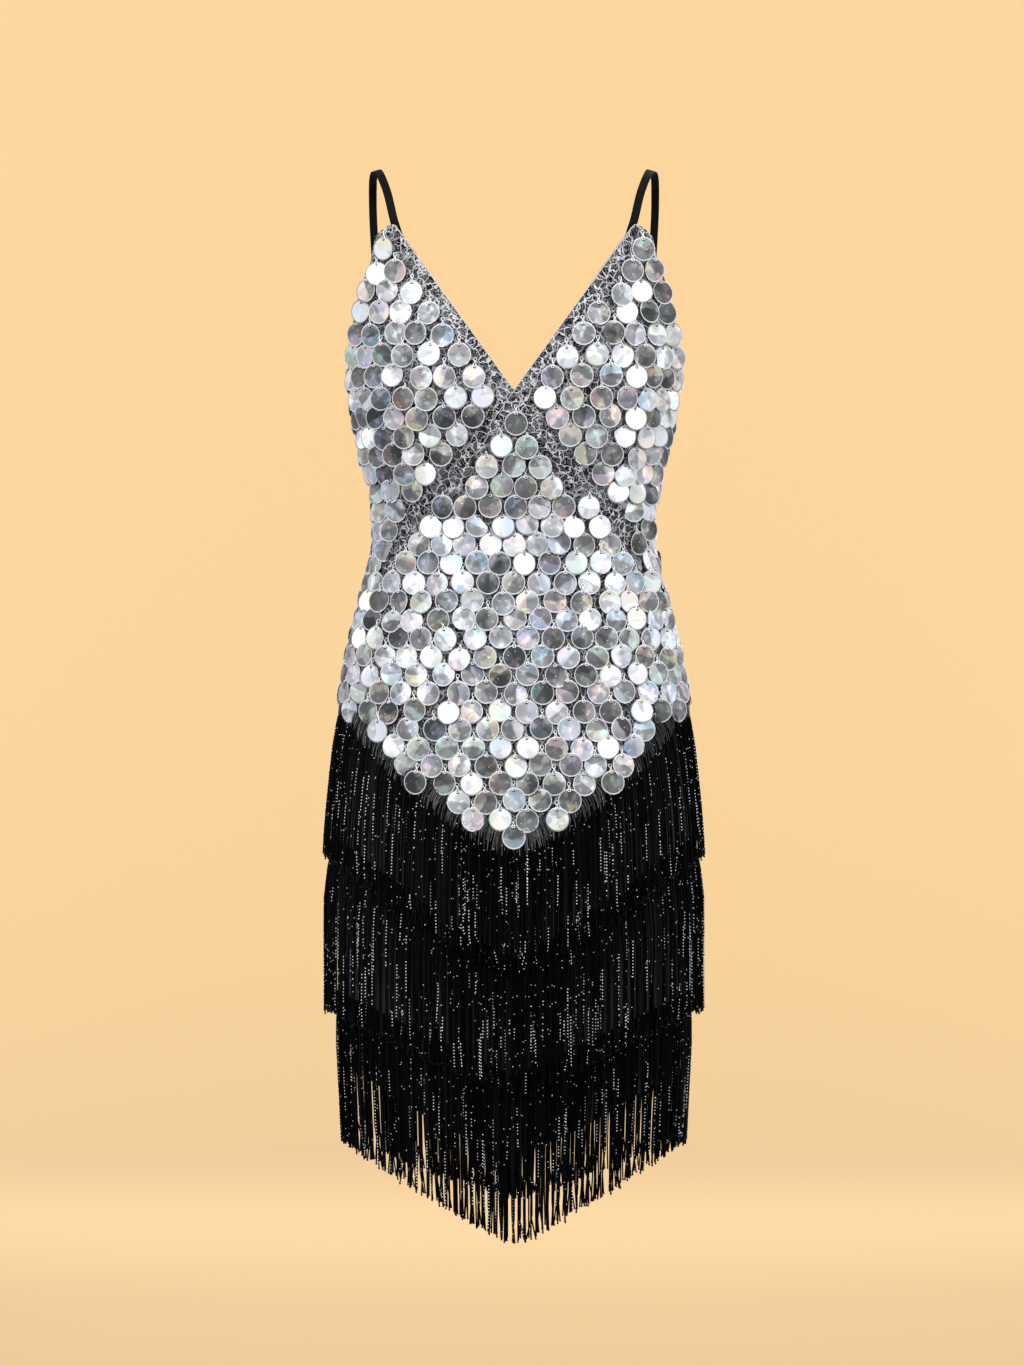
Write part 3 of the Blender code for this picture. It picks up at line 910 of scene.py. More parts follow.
class DRESS_OT_straps(bpy.types.Operator):
    """Flat satin ribbon straps over the shoulders"""
    bl_idname = "dress.straps"
    bl_label = "Straps"

    def execute(self, context):
        cloth = satin(context.scene.dress_cloth)
        stops, facing = strap_stops()
        path, away = smooth_path(stops, STRAP_STEPS), smooth_path(facing, STRAP_STEPS)
        along = np.gradient(path, axis=0)
        across = unit(np.cross(away, along))
        away = unit(np.cross(along, across))
        length = lengths_along(path)
        shares = np.linspace(-0.5, 0.5, STRAP_COLUMNS)
        edge = (np.abs(shares) - WOVEN_EDGE_AT) / WOVEN_EDGE_WIDTH
        crown = STRAP_CROWN * (1 - (2 * shares) ** 2) - WOVEN_EDGE * np.exp(-edge ** 2)
        for sign, word in ((1, "left"), (-1, "right")):
            mirror = np.array((sign, 1, 1))
            skins = []
            for half in (1, -1):
                lift = half * (STRAP_THICKNESS / 2 + crown)
                grid = (path[None] + across[None] * (shares * STRAP_WIDTH)[:, None, None]
                        + away[None] * lift[:, None, None]) * mirror
                skins.append(grid[::sign])
            points, faces = two_skins(*skins)
            piece = new_piece("strap_ribbon_" + word, points, faces, cloth)
            flat = np.stack(np.broadcast_arrays(shares[:, None] + 0.5, length[None] * MM), -1)
            add_map(piece.data, "cloth", np.tile(flat[::sign].reshape(-1, 2), (2, 1)))
            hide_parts("strap_" + word)
        return {"FINISHED"}


# Geometry Nodes

class Tree:
    """A Geometry Nodes tree with named inputs and a short way to add nodes."""

    def __init__(self, name):
        self.group = bpy.data.node_groups.new(name, "GeometryNodeTree")
        for way in ("INPUT", "OUTPUT"):
            self.group.interface.new_socket(
                "Geometry", in_out=way, socket_type="NodeSocketGeometry")
        self.start = self.group.nodes.new("NodeGroupInput")
        self.end = self.group.nodes.new("NodeGroupOutput")
        self.keys = {}
        self.paint = self.input("Material", "NodeSocketMaterial")

    def input(self, name, kind):
        socket = self.group.interface.new_socket(name, in_out="INPUT", socket_type=kind)
        self.keys[name] = socket.identifier
        return self.start.outputs[name]

    def add(self, kind, settings=None, output=0, **sockets):
        """One node: its settings first, then its sockets by name."""
        node = self.group.nodes.new(kind)
        for key, value in (settings or {}).items():
            setattr(node, key, value)
        for key, value in sockets.items():
            place = int(key[1:]) if key[0] == "_" else key.replace("_", " ")
            socket = node.inputs[place]
            if isinstance(value, bpy.types.NodeSocket):
                self.group.links.new(value, socket)
            else:
                socket.default_value = value
        return node.outputs[output]

    def finish(self, geometry):
        real = self.add("GeometryNodeRealizeInstances", Geometry=geometry)
        painted = self.add("GeometryNodeSetMaterial", Geometry=real, Material=self.paint)
        self.group.links.new(painted, self.end.inputs[0])

    def run(self, name, source, material, **values):
        """A plain mesh piece from the tree's result on a source object, which is removed."""
        modifier = source.modifiers.new("grow", "NODES")
        modifier.node_group = self.group
        modifier[self.keys["Material"]] = material
        for key, value in values.items():
            modifier[self.keys[key]] = value
        source.update_tag()
        result = source.evaluated_get(bpy.context.evaluated_depsgraph_get())
        mesh = bpy.data.meshes.new_from_object(result)
        mesh.name = name
        mesh.materials.clear()
        mesh.materials.append(material)
        mesh.polygons.foreach_set("material_index", np.zeros(len(mesh.polygons), np.int32))
        bpy.data.objects.remove(source)
        piece = put_in_scene(name, mesh)
        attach(piece, BODY)
        return piece


def store(mesh, key, values):
    """Keeps a number, a direction or a turn for each point of a mesh under a name."""
    values = np.asarray(values, np.float32)
    kind = {(): "FLOAT", (3,): "FLOAT_VECTOR", (4,): "QUATERNION"}[values.shape[1:]]
    layer = mesh.attributes.new(key, kind, "POINT")
    layer.data.foreach_set("vector" if kind == "FLOAT_VECTOR" else "value", values.ravel())


def cloud(name, points, edges=(), **attributes):
    """A mesh of loose points or lines in metres with named attributes on its points."""
    mesh = bpy.data.meshes.new(name)
    mesh.from_pydata((np.asarray(points) * MM).tolist(), edges, [])
    for key, values in attributes.items():
        store(mesh, key, values)
    return put_in_scene(name, mesh)


def lines(name, paths, **attributes):
    """A mesh of open lines, one for each path of points."""
    count, rows = paths.shape[:2]
    index = np.arange(count * rows).reshape(count, rows)
    edges = np.stack((index[:, :-1], index[:, 1:]), -1).reshape(-1, 2)
    flat = {key: np.ravel(values) for key, values in attributes.items()}
    return cloud(name, paths.reshape(-1, 3), edges.tolist(), **flat)


# Discs

DISC_SIDES = 16
DISC_HOLE = 0.8  # millimetres, half the hole's width
DISC_HOLE_UP = 0.77  # of the disc's radius
DISC_DOME = 0.3
DISC_TALL = 1.04
DISC_THICKNESS = 0.3
DISC_EDGE_FALL = 0.12
DISC_SHARP = 50  # degrees, the least turn that shows as an edge
DISC_RINGS = (0.0, 0.62, 1.0)


def disc_points(radius, back, bend):
    """Rings that grow from the hole's edge to the disc's edge, on a bent dome."""
    turn = np.arange(DISC_SIDES) / DISC_SIDES * 2 * math.pi
    rings = []
    for part in DISC_RINGS:
        size = DISC_HOLE + (radius - DISC_HOLE) * part
        x = size * np.sin(turn)
        y = (size * np.cos(turn) + DISC_HOLE_UP * radius * (1 - part)) * DISC_TALL
        far = (x ** 2 + y ** 2) / radius ** 2
        z = DISC_DOME * (1 - far) + bend[0] * x * y / radius + bend[1] * (x / radius) ** 2
        z = z - DISC_EDGE_FALL * (part == 1.0) - DISC_THICKNESS * back
        rings.append(np.stack((x, y, z), -1))
    return np.array(rings)


def disc_template(name, radius, bend):
    """One pierced disc, a closed solid with its hole near the top, as a source object."""
    front = disc_points(radius, 0, bend)
    back = disc_points(radius, 1, bend)[[0, -1]]
    rings = np.concatenate((front, back[::-1], front[:1]))
    count = len(rings) - 1
    points = rings[:count].reshape(-1, 3)
    faces = []
    for ring in range(count):
        for side in range(DISC_SIDES):
            after = (side + 1) % DISC_SIDES
            outer = (ring + 1) % count
            faces.append((outer * DISC_SIDES + side, outer * DISC_SIDES + after,
                          ring * DISC_SIDES + after, ring * DISC_SIDES + side))
    item = new_piece(name, points, faces, None, body=None)
    add_map(item.data, "disc", points[:, :2] / radius)
    item.data.set_sharp_from_angle(angle=math.radians(DISC_SHARP))
    return item


LINK_STEPS, LINK_SIDES = 14, 3
LINK_LENGTH, LINK_WIDTH, LINK_THREAD = 8.4, 1.5, 0.48
LINK_FRONT, LINK_BACK, LINK_CROSSING = 0.8, -2.4, 0.3
LINK_BEAD, LINK_OVERLAP = 0.75, 0.2


def link_template(name, radius):
    """A thread that runs from the hole up to the cloth in a figure of eight, with a bead on it."""
    turn = np.arange(LINK_STEPS) / LINK_STEPS * 2 * math.pi
    rise = (1 - np.cos(turn)) / 2
    start = DISC_HOLE_UP * radius * DISC_TALL - LINK_OVERLAP
    path = np.stack((
        LINK_WIDTH * np.sin(2 * turn), start + LINK_LENGTH * rise,
        LINK_FRONT + (LINK_BACK - LINK_FRONT) * rise + LINK_CROSSING * np.sin(turn)), -1)
    along = unit(np.roll(path, -1, axis=0) - np.roll(path, 1, axis=0))
    side = unit(np.cross(along, (0.0, 0.0, 1.0)))
    over = np.cross(side, along)
    round_it = np.arange(LINK_SIDES) / LINK_SIDES * 2 * math.pi
    rings = (path[:, None] + LINK_THREAD * (np.cos(round_it)[None, :, None] * side[:, None]
                                            + np.sin(round_it)[None, :, None] * over[:, None]))
    bm = bmesh.new()
    verts = [[bm.verts.new(point * MM) for point in ring] for ring in rings]
    for index, ring in enumerate(verts):
        after = verts[(index + 1) % LINK_STEPS]
        for edge in range(LINK_SIDES):
            turn_on = (edge + 1) % LINK_SIDES
            bm.faces.new((ring[edge], ring[turn_on], after[turn_on], after[edge]))
    place = Matrix.Translation(Vector((0, start + LINK_LENGTH / 2, 0)) * MM)
    bmesh.ops.create_icosphere(bm, subdivisions=1, radius=LINK_BEAD * MM, matrix=place)
    bmesh.ops.recalc_face_normals(bm, faces=bm.faces[:])
    mesh = bpy.data.meshes.new(name)
    bm.to_mesh(mesh)
    bm.free()
    mesh.shade_smooth()
    return put_in_scene(name, mesh)


# Rows of discs: heights are in millimetres, and room is measured sideways from an edge
# Row 0, the rows above and below it, and how soon the wider rows give way to even ones
LATTICE_TOP, LATTICE_ABOVE, LATTICE_BELOW, ROW_FADE = -223.5, 5, 22, 6.0
GIRTH, GIRTH_SHARE = 830.0, 0.5  # where columns keep their pitch, and how far it follows the girth
CUP_FIRST, CUP_ROW_COUNT, CUP_TURN_ROW, CUP_LOW_PITCH = -70.5, 16, 7, 16.3
CUP_TIP_IN = 4.5  # how far the tip's own disc hangs nearer the neck
CUP_NECK_ROOM, CUP_SEAM_ROOM, CUP_CORNER = 26.0, 25.8, 12.0
CUP_COLUMNS = 14
ARMHOLE_ROOM_ANGLES, ARMHOLE_ROOM = (74.0, 80.0), (-1.0, 12.0)
FILL_ANGLES, FILL_HEIGHTS = (66.0, 113.0), (-184.0, -420.0)
FILL_STEPS, FILL_APART = (1.5, 3.0), 18.5
# The line that the front's discs stay below, from the middle outwards
FRONT_TOP_X = (0.0, 12.0, 35.0, 66.0, 106.0, 118.0, 140.0)
FRONT_TOP_Z = (-220.0, -238.0, -275.0, -293.0, -360.0, -362.0, -384.0)
HEM_HANG, HEM_ROW, BACK_ROOM = 8.5, 4.0, 12.0
SIDE, CUP_SIDE_ROOM, SEAM_ROOM = 90.0, 0.5, 0.1  # degrees
APART = 14.0  # least distance from a disc's middle to one of another panel
STRAY_SHARE, STRAY_ACROSS, STRAY_DOWN, STRAY_OUT = 0.05, 5.0, 3.0, 1.4
JITTER_DOWN = 0.8  # of the jitter sideways
DISC_OUT, DISC_OUT_SPREAD, HEM_OUT = 2.9, 0.7, 1.6
# How much the loose discs turn to face the front or the back, and how upright they hang
DISC_HANG, CUP_HANG, CUP_OUT, DISC_PLUMB = 0.45, 0.75, 0.7, 0.5
# Turns about a disc's own axes, middle and spread, as shares of the tilt setting
DISC_NOD, DISC_SWING, DISC_SPIN = (-0.3, 0.35), (0, 0.4), (0, 0.3)
LOOSE_DISCS, LOOSE_SWING = 0.03, (-1.8, 1.8)


def row_heights(settings):
    """The rows' numbers and heights; row 0 is the first under the neckline's point."""
    settled, spread = settings.row_pitch / MM, settings.row_spread / MM
    down = settled + spread * np.exp(-np.arange(LATTICE_BELOW) / ROW_FADE)
    below = LATTICE_TOP - np.concatenate(([0.0], np.cumsum(down)))
    above = LATTICE_TOP + np.arange(LATTICE_ABOVE, 0, -1) * (settled + spread)
    return np.arange(-LATTICE_ABOVE, LATTICE_BELOW + 1), np.concatenate((above, below))


def body_places(settings):
    """Angles and heights of the discs round the body, staggered and spread evenly in each row."""
    angles, heights = [], []
    for number, height in zip(*row_heights(settings)):
        ring, arc = half_round(height)
        stretch = 1 - GIRTH_SHARE + GIRTH_SHARE * 2 * arc[-1] / GIRTH
        count = int(round(arc[-1] / (settings.column_pitch / MM * stretch)))
        places = (np.arange(count + 1) + 0.5 * (number % 2)) / count
        angle = np.interp(places[places <= 1.0] * arc[-1], arc, ring)
        single = (angle > SEAM_ROOM) & (angle < 180.0 - SEAM_ROOM)
        angle = np.concatenate((-angle[single][::-1], angle))
        angles.append(angle)
        heights.append(np.full(len(angle), height))
    return np.concatenate(angles), np.concatenate(heights)


def cup_places(settings):
    """Angles and heights of the left cup's discs, in rows that start along the neck and the seam."""
    pitch = (settings.row_pitch + settings.row_spread) / MM
    steps = np.where(np.arange(CUP_ROW_COUNT) < CUP_TURN_ROW, pitch, CUP_LOW_PITCH)
    angles, heights = [], []
    for height in CUP_FIRST - np.concatenate(([0.0], np.cumsum(steps))):
        from_neck = (height - NECK_POINT) / NECK_SLOPE + CUP_NECK_ROOM
        from_seam = (UNDER_CUP_TOP - height) / UNDER_CUP_SLOPE + CUP_SEAM_ROOM
        inner = (from_neck + from_seam + math.hypot(from_neck - from_seam, CUP_CORNER)) / 2
        inner -= CUP_TIP_IN * (height == CUP_FIRST)
        ring, arc = half_round(height)
        front = ring < SIDE
        start = np.interp(inner, round_body(ring[front], height)[:, 0], arc[front])
        places = start + np.arange(CUP_COLUMNS) * settings.column_pitch / MM
        angle = np.interp(places, arc, ring)
        room = np.interp(angle, ARMHOLE_ROOM_ANGLES, ARMHOLE_ROOM)
        keep = (angle < TIP_ANGLE) | (height < armhole(angle) - room)
        keep &= angle < SIDE - CUP_SIDE_ROOM
        angles.append(angle[keep])
        heights.append(np.full(keep.sum(), height))
    return np.concatenate(angles), np.concatenate(heights)


def disc_places(settings, panel, rng, taken):
    """Angles, heights and distances out of one panel's discs, clear of those already taken."""
    if panel.startswith("cup"):
        angle, height = cup_places(settings)
        angle = angle * (1 if panel.endswith("left") else -1)
    else:
        angle, height = body_places(settings)
        keep = height > bodice_hem(angle) - HEM_HANG
        if panel == "front_body":
            x = np.abs(round_body(angle, height)[:, 0])
            keep &= (np.abs(angle) < SIDE) & (height < np.interp(x, FRONT_TOP_X, FRONT_TOP_Z))
        else:
            keep &= (np.abs(angle) > SIDE) & (height < back_top(angle) - BACK_ROOM)
        angle, height = angle[keep], height[keep]
    count = len(angle)
    stray = rng.random(count) < STRAY_SHARE
    jitter = settings.jitter / MM
    shift = rng.normal(0, jitter, count) + stray * rng.uniform(-STRAY_ACROSS, STRAY_ACROSS, count)
    drop = rng.normal(0, jitter * JITTER_DOWN, count) - stray * rng.uniform(0, STRAY_DOWN, count)
    reach = np.linalg.norm(round_body(angle, height)[:, :2], axis=1)
    angle, height = angle + np.degrees(shift / reach), height + drop
    out = DISC_OUT + rng.uniform(-DISC_OUT_SPREAD, DISC_OUT_SPREAD, count) + STRAY_OUT * stray
    out = out + HEM_OUT * (height < bodice_hem(angle) + HEM_ROW)
    out = out + CUP_OUT * panel.startswith("cup")
    points = laid_on(angle, height, out)
    if len(taken):
        gap = np.linalg.norm(points[:, None] - taken[None], axis=-1).min(axis=1)
        keep = gap > APART
        angle, height, points = angle[keep], height[keep], points[keep]
    if panel == "back_body":
        more_angle, more_height, more = side_fill(np.concatenate((taken, points)))
        angle, height = np.concatenate((angle, more_angle)), np.concatenate((height, more_height))
        points = np.concatenate((points, more))
    return angle, height, points


def side_fill(taken):
    """Places that close the gaps between the front's discs and the back's at each side."""
    angle, height = np.meshgrid(np.arange(*FILL_ANGLES, FILL_STEPS[0]),
                                np.arange(*FILL_HEIGHTS, -FILL_STEPS[1]))
    angle, height = np.concatenate((angle.ravel(), -angle.ravel())), np.tile(height.ravel(), 2)
    points = laid_on(angle, height, DISC_OUT + 0 * angle)
    gap = np.linalg.norm(points[:, None] - taken[None], axis=-1).min(axis=1)
    chosen = []
    for index in np.flatnonzero(gap > FILL_APART):
        away = np.linalg.norm(points[chosen] - points[index], axis=-1)
        if not chosen or away.min() > FILL_APART:
            chosen.append(index)
    return angle[chosen], height[chosen], points[chosen]


def disc_frames(angle, height, hang, settings, rng):
    """Quaternions that stand each disc on the cloth, with its own small tilt and turn."""
    normal = outward(angle, height)
    normal[:, 2] *= DISC_PLUMB
    around = np.abs(np.sin(2 * np.arctan2(normal[:, 0], normal[:, 1])))
    normal[:, 1] += np.sign(normal[:, 1]) * hang * around
    normal = unit(normal)
    up = unit(np.array((0.0, 0.0, 1.0)) - normal * normal[:, 2:])
    side = np.cross(up, normal)
    turns = []
    for x, y, z in zip(side, up, normal):
        basis = Matrix((x, y, z)).transposed()
        tilt = Matrix.Rotation(rng.normal(*DISC_NOD) * settings.tilt, 3, "X")
        loose = (rng.random() < LOOSE_DISCS) * rng.uniform(*LOOSE_SWING)
        swing = Matrix.Rotation((rng.normal(*DISC_SWING) + loose) * settings.tilt, 3, "Y")
        spin = Matrix.Rotation(rng.normal(*DISC_SPIN) * settings.tilt, 3, "Z")
        turns.append(tuple((basis @ tilt @ swing @ spin).to_quaternion()))
    return np.array(turns)


# Twist and curl of the four kinds of disc
DISC_BENDS = ((0.0, 0.0), (0.12, 0.25), (-0.14, -0.2), (0.05, 0.5))


def disc_tree():
    """Copies of four slightly different discs on the places of a cloud of points."""
    tree = Tree("sewn_discs")
    size = tree.input("Size", "NodeSocketFloat")
    seed = tree.input("Seed", "NodeSocketInt")
    kinds = [tree.input(f"Disc {index}", "NodeSocketObject") for index in range(len(DISC_BENDS))]
    join = tree.group.nodes.new("GeometryNodeGeometryToInstance")
    for kind in kinds:
        shape = tree.add("GeometryNodeObjectInfo", output="Geometry", Object=kind)
        tree.group.links.new(shape, join.inputs[0])
    turn = tree.add("GeometryNodeInputNamedAttribute", {"data_type": "QUATERNION"}, Name="turn")
    pick = tree.add("FunctionNodeRandomValue", {"data_type": "INT"}, output=2,
                    _4=0, _5=len(DISC_BENDS) - 1, Seed=seed)
    placed = tree.add("GeometryNodeInstanceOnPoints", Points=tree.start.outputs["Geometry"],
                      Instance=join.outputs[0], Pick_Instance=True, Instance_Index=pick,
                      Rotation=turn, Scale=size)
    tree.finish(placed)
    return tree


# Shares of dark, middle, light and white discs by painted reflection, their tones and how much each
# tone strays
REFLECTION_SHARES = (0.19, 0.31, 0.34, 0.16)
REFLECTION_TONES, REFLECTION_SPREAD = (0.2, 0.4, 0.62, 0.9), 0.055
DISC_TINTS = (2.0, 1.3)


class DRESS_OT_discs(bpy.types.Operator):
    """Large silver discs sewn in staggered rows over the whole bodice, with their links"""
    bl_idname = "dress.discs"
    bl_label = "Discs"

    def execute(self, context):
        settings = context.scene.dress_discs
        rng = np.random.default_rng(settings.seed)
        radius = settings.diameter / 2 / MM
        discs = [disc_template(f"disc_source_{index}", radius, bend)
                 for index, bend in enumerate(DISC_BENDS)]
        link = link_template("link_source", radius)
        tree = disc_tree()
        mirror = disc_mirror(settings)
        silver = silver_thread("disc_link_thread", settings.link_thread, settings.disc_white)
        taken = np.empty((0, 3))
        for panel in ("cup_left", "cup_right", "front_body", "back_body"):
            angle, height, points = disc_places(settings, panel, rng, taken)
            taken = np.concatenate((taken, points))
            hang = CUP_HANG if panel.startswith("cup") else DISC_HANG
            turn = disc_frames(angle, height, hang, settings, rng)
            count = len(angle)
            facing = rng.uniform(0, 2 * math.pi, (2, count))
            toss, zone = (np.stack((np.cos(way), np.sin(way), rng.uniform(-1, 1, count)), -1)
                          for way in facing)
            # Each disc's tone is a painted reflection
            kind = rng.choice(len(REFLECTION_TONES), count, p=REFLECTION_SHARES)
            tone = np.array(REFLECTION_TONES)[kind] + rng.normal(0, REFLECTION_SPREAD, count)
            places = cloud("disc_cloud", points, turn=turn, toss=toss, zone=zone, tone=tone,
                           tint=rng.beta(*DISC_TINTS, count), hue=rng.uniform(0, 1, count))
            links = cloud("link_cloud", points, turn=turn)
            for name, source, material, shapes in (
                    ("discs_", places, mirror, discs),
                    ("disc_links_", links, silver, [link] * len(discs))):
                shapes = {f"Disc {index}": shape for index, shape in enumerate(shapes)}
                piece = tree.run(name + panel, source, material, Size=1.0, Seed=settings.seed,
                                 **shapes)
        for item in (*discs, link):
            bpy.data.objects.remove(item)
        # Paints the discs' shade into the cloth around them
        for name, shaded in DISC_SHADED_CLOTH.items():
            paint_disc_shade(bpy.data.objects[name].data, taken, shaded)
        return {"FINISHED"}


# Cloth takes the full painted shade within the first distance of a disc's middle, and none past the
# second
SHADE_FULL, SHADE_NONE = 13.5, 17.5
SHADE_BATCHES = 40  # parts of the work, to spare memory
DISC_SHADED_CLOTH = {"cup_cloth_left": 0.35, "cup_cloth_right": 0.35,
                 "front_body_cloth": 0.5, "back_body_cloth": 0.5}


def paint_disc_shade(mesh, centers, shaded):
    """Stores a painted shade for each point of a cloth, by how far it lies under the discs."""
    points = np.empty(len(mesh.vertices) * 3, np.float32)
    mesh.vertices.foreach_get("co", points)
    points = points.reshape(-1, 3) / MM
    nearest = np.concatenate([
        np.linalg.norm(part[:, None] - centers[None], axis=-1).min(axis=1)
        for part in np.array_split(points, SHADE_BATCHES)])
    disc_shade_share = np.clip((SHADE_NONE - nearest) / (SHADE_NONE - SHADE_FULL), 0, 1)
    store(mesh, "painted_disc_shade", shaded * disc_shade_share)


# Fringe

STRAND_PARTS = np.array((0.0, 0.035, 0.09, 0.2, 0.36, 0.53, 0.7, 0.86, 0.94, 1.0))
LEAD, LEAD_FADE = 6.0, 7.0  # how far aside strands leave the head, and how soon they hang straight
FREE_SHARE = 0.1  # of the strands, which join no clump
# How far strands and clumps stray from even places, in shares of their spacing
STRAND_STRAY, CLUMP_STRAY, COMB_STRAY = 0.35, 0.33, 0.4
PULL_SPREAD = (0.85, 1.0)  # how evenly a clump draws its strands in
END_SPREAD, SHORTEST, HEAD_TUCK = 0.4, 40.0, 1.0
HEAD_OUT, STRAND_OUT, LAYERS_OUT = 0.9, 0.4, 2.0  # distances out: head, strands, spread of layers
HEAD_HOLD = 0.3  # share of the head's width below which strands start to stand out
LEAST_LAYER, LAYER_SPREADS = 0.25, 4  # how soon the layers of strands part below the head
SWAY, RIPPLE, RIPPLE_TURNS, RIPPLE_STARTS = 0.2, (0.02, 0.12), (4, 11), (0, 6.3)
GATHERED = {"fringe_upper": (0.1, 0.6), "fringe_middle": (0.15, 0.65), "fringe_lower": (0.35, 0.9)}
# Where along a strand its clump draws together, and over what part of its length
GATHER_START, GATHER_PART = (0.22, 0.8), 0.2
THICKER = {"fringe_upper": 1.0, "fringe_middle": 1.0, "fringe_lower": 1.2}
FLICK_SHARE, FLICK, STRONG_FLICK, FLICK_FROM = 0.25, 0.5, 1.2, 0.86
STRAND_SHADES, COMB_SHADES = (1.2, 1.6), (0.2, 1.0)  # a beta spread's two numbers, and a range
COMB_COUNT, COMB_PARTS, COMB_OUT, COMB_LEAD = 900, np.linspace(0, 1, 6), 2.5, 2.0
COMB_ABOVE, COMB_LENGTH, COMB_ROOT_OUT = 0.6, (11.0, 24.0), 0.7
COMB_OUT_SPREAD, COMB_DRIFT = (-0.3, 0.5), 1.0


def turned_by(angle, height, sideways):
    """The angles that lie a distance sideways round the body."""
    reach = np.linalg.norm(round_body(angle, height)[..., :2], axis=-1)
    return angle + np.degrees(sideways / reach)


def lead_in(line, start, fallen):
    """Strands leave a slanted head square to it and then fall straight: how far aside they are."""
    after, before = start + SLOPE_ANGLE, start - SLOPE_ANGLE
    ends = round_body(after, line[0]) - round_body(before, line[0])
    slope = (on_line(line, after) - on_line(line, before)) / np.linalg.norm(ends[..., :2], axis=-1)
    return -slope[:, None] * LEAD * np.exp(-fallen / LEAD_FADE)


def past_turn(angle):
    """An angle's remainder between a half turn to the right and a half turn to the left."""
    return (angle + 180) % 360 - 180


def strand_paths(settings, tier, rng):
    """Points down each strand, from the head to its uneven end, drawn together in clumps."""
    head, foot, knee_out, foot_out = TIERS[tier]
    count, clump_count = settings.strands, int(360 / settings.clump)
    start = np.arange(count) + rng.uniform(-STRAND_STRAY, STRAND_STRAY, count)
    start = start * 360.0 / count - 180.0
    layer = rng.uniform(0, 1, count)
    clumps = np.arange(clump_count) + rng.uniform(-CLUMP_STRAY, CLUMP_STRAY, clump_count)
    clumps = np.sort(clumps * settings.clump)
    clump = np.argmin(np.abs(past_turn(start[:, None] - clumps[None])), axis=1)
    strength = rng.uniform(*GATHERED[tier], clump_count)[clump] * rng.uniform(*PULL_SPREAD, count)
    pull = past_turn(clumps[clump] - start) * strength
    pull *= rng.random(count) > FREE_SHARE
    top = on_line(head, start) - HEAD_TUCK
    end = on_line(foot, start) + rng.normal(0, END_SPREAD, count) * settings.uneven / MM
    end = np.minimum(end, top - SHORTEST)
    part = STRAND_PARTS[None]
    height = top[:, None] + (end - top)[:, None] * part
    root = HEAD_WIDTH / (top - end)[:, None]
    knee = knee_out + STRAND_OUT
    fallen = np.clip((part - root * HEAD_HOLD) / KNEE_SHARE, 0, 1)
    bow = np.where(part < KNEE_SHARE, HEAD_OUT + (knee - HEAD_OUT) * fallen,
                   knee + (foot_out - knee_out) * (part - KNEE_SHARE) / (1 - KNEE_SHARE))
    out = bow + layer[:, None] * LAYERS_OUT * np.clip(part * LAYER_SPREADS, LEAST_LAYER, 1)
    sway = rng.normal(0, SWAY, count)[:, None] * part
    ripple = rng.uniform(*RIPPLE, count)[:, None] * np.sin(
        part * rng.uniform(*RIPPLE_TURNS, count)[:, None]
        + rng.uniform(*RIPPLE_STARTS, count)[:, None])
    flick = rng.normal(0, FLICK, count)
    flick = flick + (rng.random(count) < FLICK_SHARE) * rng.normal(0, STRONG_FLICK, count)
    curl = flick[:, None] * np.clip(part - FLICK_FROM, 0, 1) / (1 - FLICK_FROM)
    begins = rng.uniform(*GATHER_START, clump_count)[clump][:, None]
    gathered = np.clip((part - begins) / GATHER_PART, 0.25 * part, 1)
    angle = start[:, None] + pull[:, None] * gathered + sway + ripple * part + curl
    angle = turned_by(angle, height, lead_in(head, start, top[:, None] - height))
    return laid_on(angle, height, out)


def comb_paths(rng):
    """Short fine threads that fan out from under the bodice's hem."""
    head = TIERS["fringe_upper"][0]
    stray = rng.uniform(-COMB_STRAY, COMB_STRAY, COMB_COUNT)
    start = (np.arange(COMB_COUNT) + stray) * 360.0 / COMB_COUNT - 180.0
    top = on_line(head, start) + COMB_ABOVE
    fallen = rng.uniform(*COMB_LENGTH, COMB_COUNT)[:, None] * COMB_PARTS[None]
    height = top[:, None] - fallen
    rise = np.sin(np.clip(COMB_PARTS * 1.5, 0, 1) * math.pi / 2)
    out = COMB_ROOT_OUT + COMB_OUT * rise[None]
    out = out + rng.uniform(*COMB_OUT_SPREAD, COMB_COUNT)[:, None] * COMB_PARTS[None]
    drift = rng.normal(0, COMB_DRIFT, COMB_COUNT)[:, None] * COMB_PARTS[None] ** 2
    angle = turned_by(start[:, None] + 0 * fallen, height,
                      lead_in(head, start, fallen) * COMB_LEAD + drift)
    return laid_on(angle, height, out)


def strand_tree():
    """Thin tubes along the edges of a mesh of lines."""
    tree = Tree("hanging_strands")
    radius = tree.input("Radius", "NodeSocketFloat")
    sides = tree.input("Sides", "NodeSocketInt")
    threads = tree.add("GeometryNodeMeshToCurve", Mesh=tree.start.outputs["Geometry"])
    ring = tree.add("GeometryNodeCurvePrimitiveCircle", Resolution=sides, Radius=radius)
    tube = tree.add("GeometryNodeCurveToMesh", Curve=threads, Profile_Curve=ring, Fill_Caps=True)
    tree.finish(tube)
    return tree


def bead_tree():
    """A small faceted bead on each point of a cloud."""
    tree = Tree("strung_beads")
    radius = tree.input("Radius", "NodeSocketFloat")
    bead = tree.add("GeometryNodeMeshUVSphere", Segments=4, Rings=2, Radius=radius)
    size = tree.add("GeometryNodeInputNamedAttribute", {"data_type": "FLOAT"}, Name="size")
    placed = tree.add("GeometryNodeInstanceOnPoints", Points=tree.start.outputs["Geometry"],
                      Instance=bead, Scale=size)
    tree.finish(placed)
    return tree


# Head tape: outer and inner skin, ribs, rows and degrees between points, line it is measured on
TAPE_OUT, TAPE_IN, TAPE_RIB, TAPE_RIBS = 0.9, 0.4, 0.18, 240
TAPE_ROWS, TAPE_STEP, TAPE_LINE, TAPE_AREA_SHARE = 6, 1.5, 0.95, 0.8
MERGED = 0.00001  # metres, the distance within which points are merged


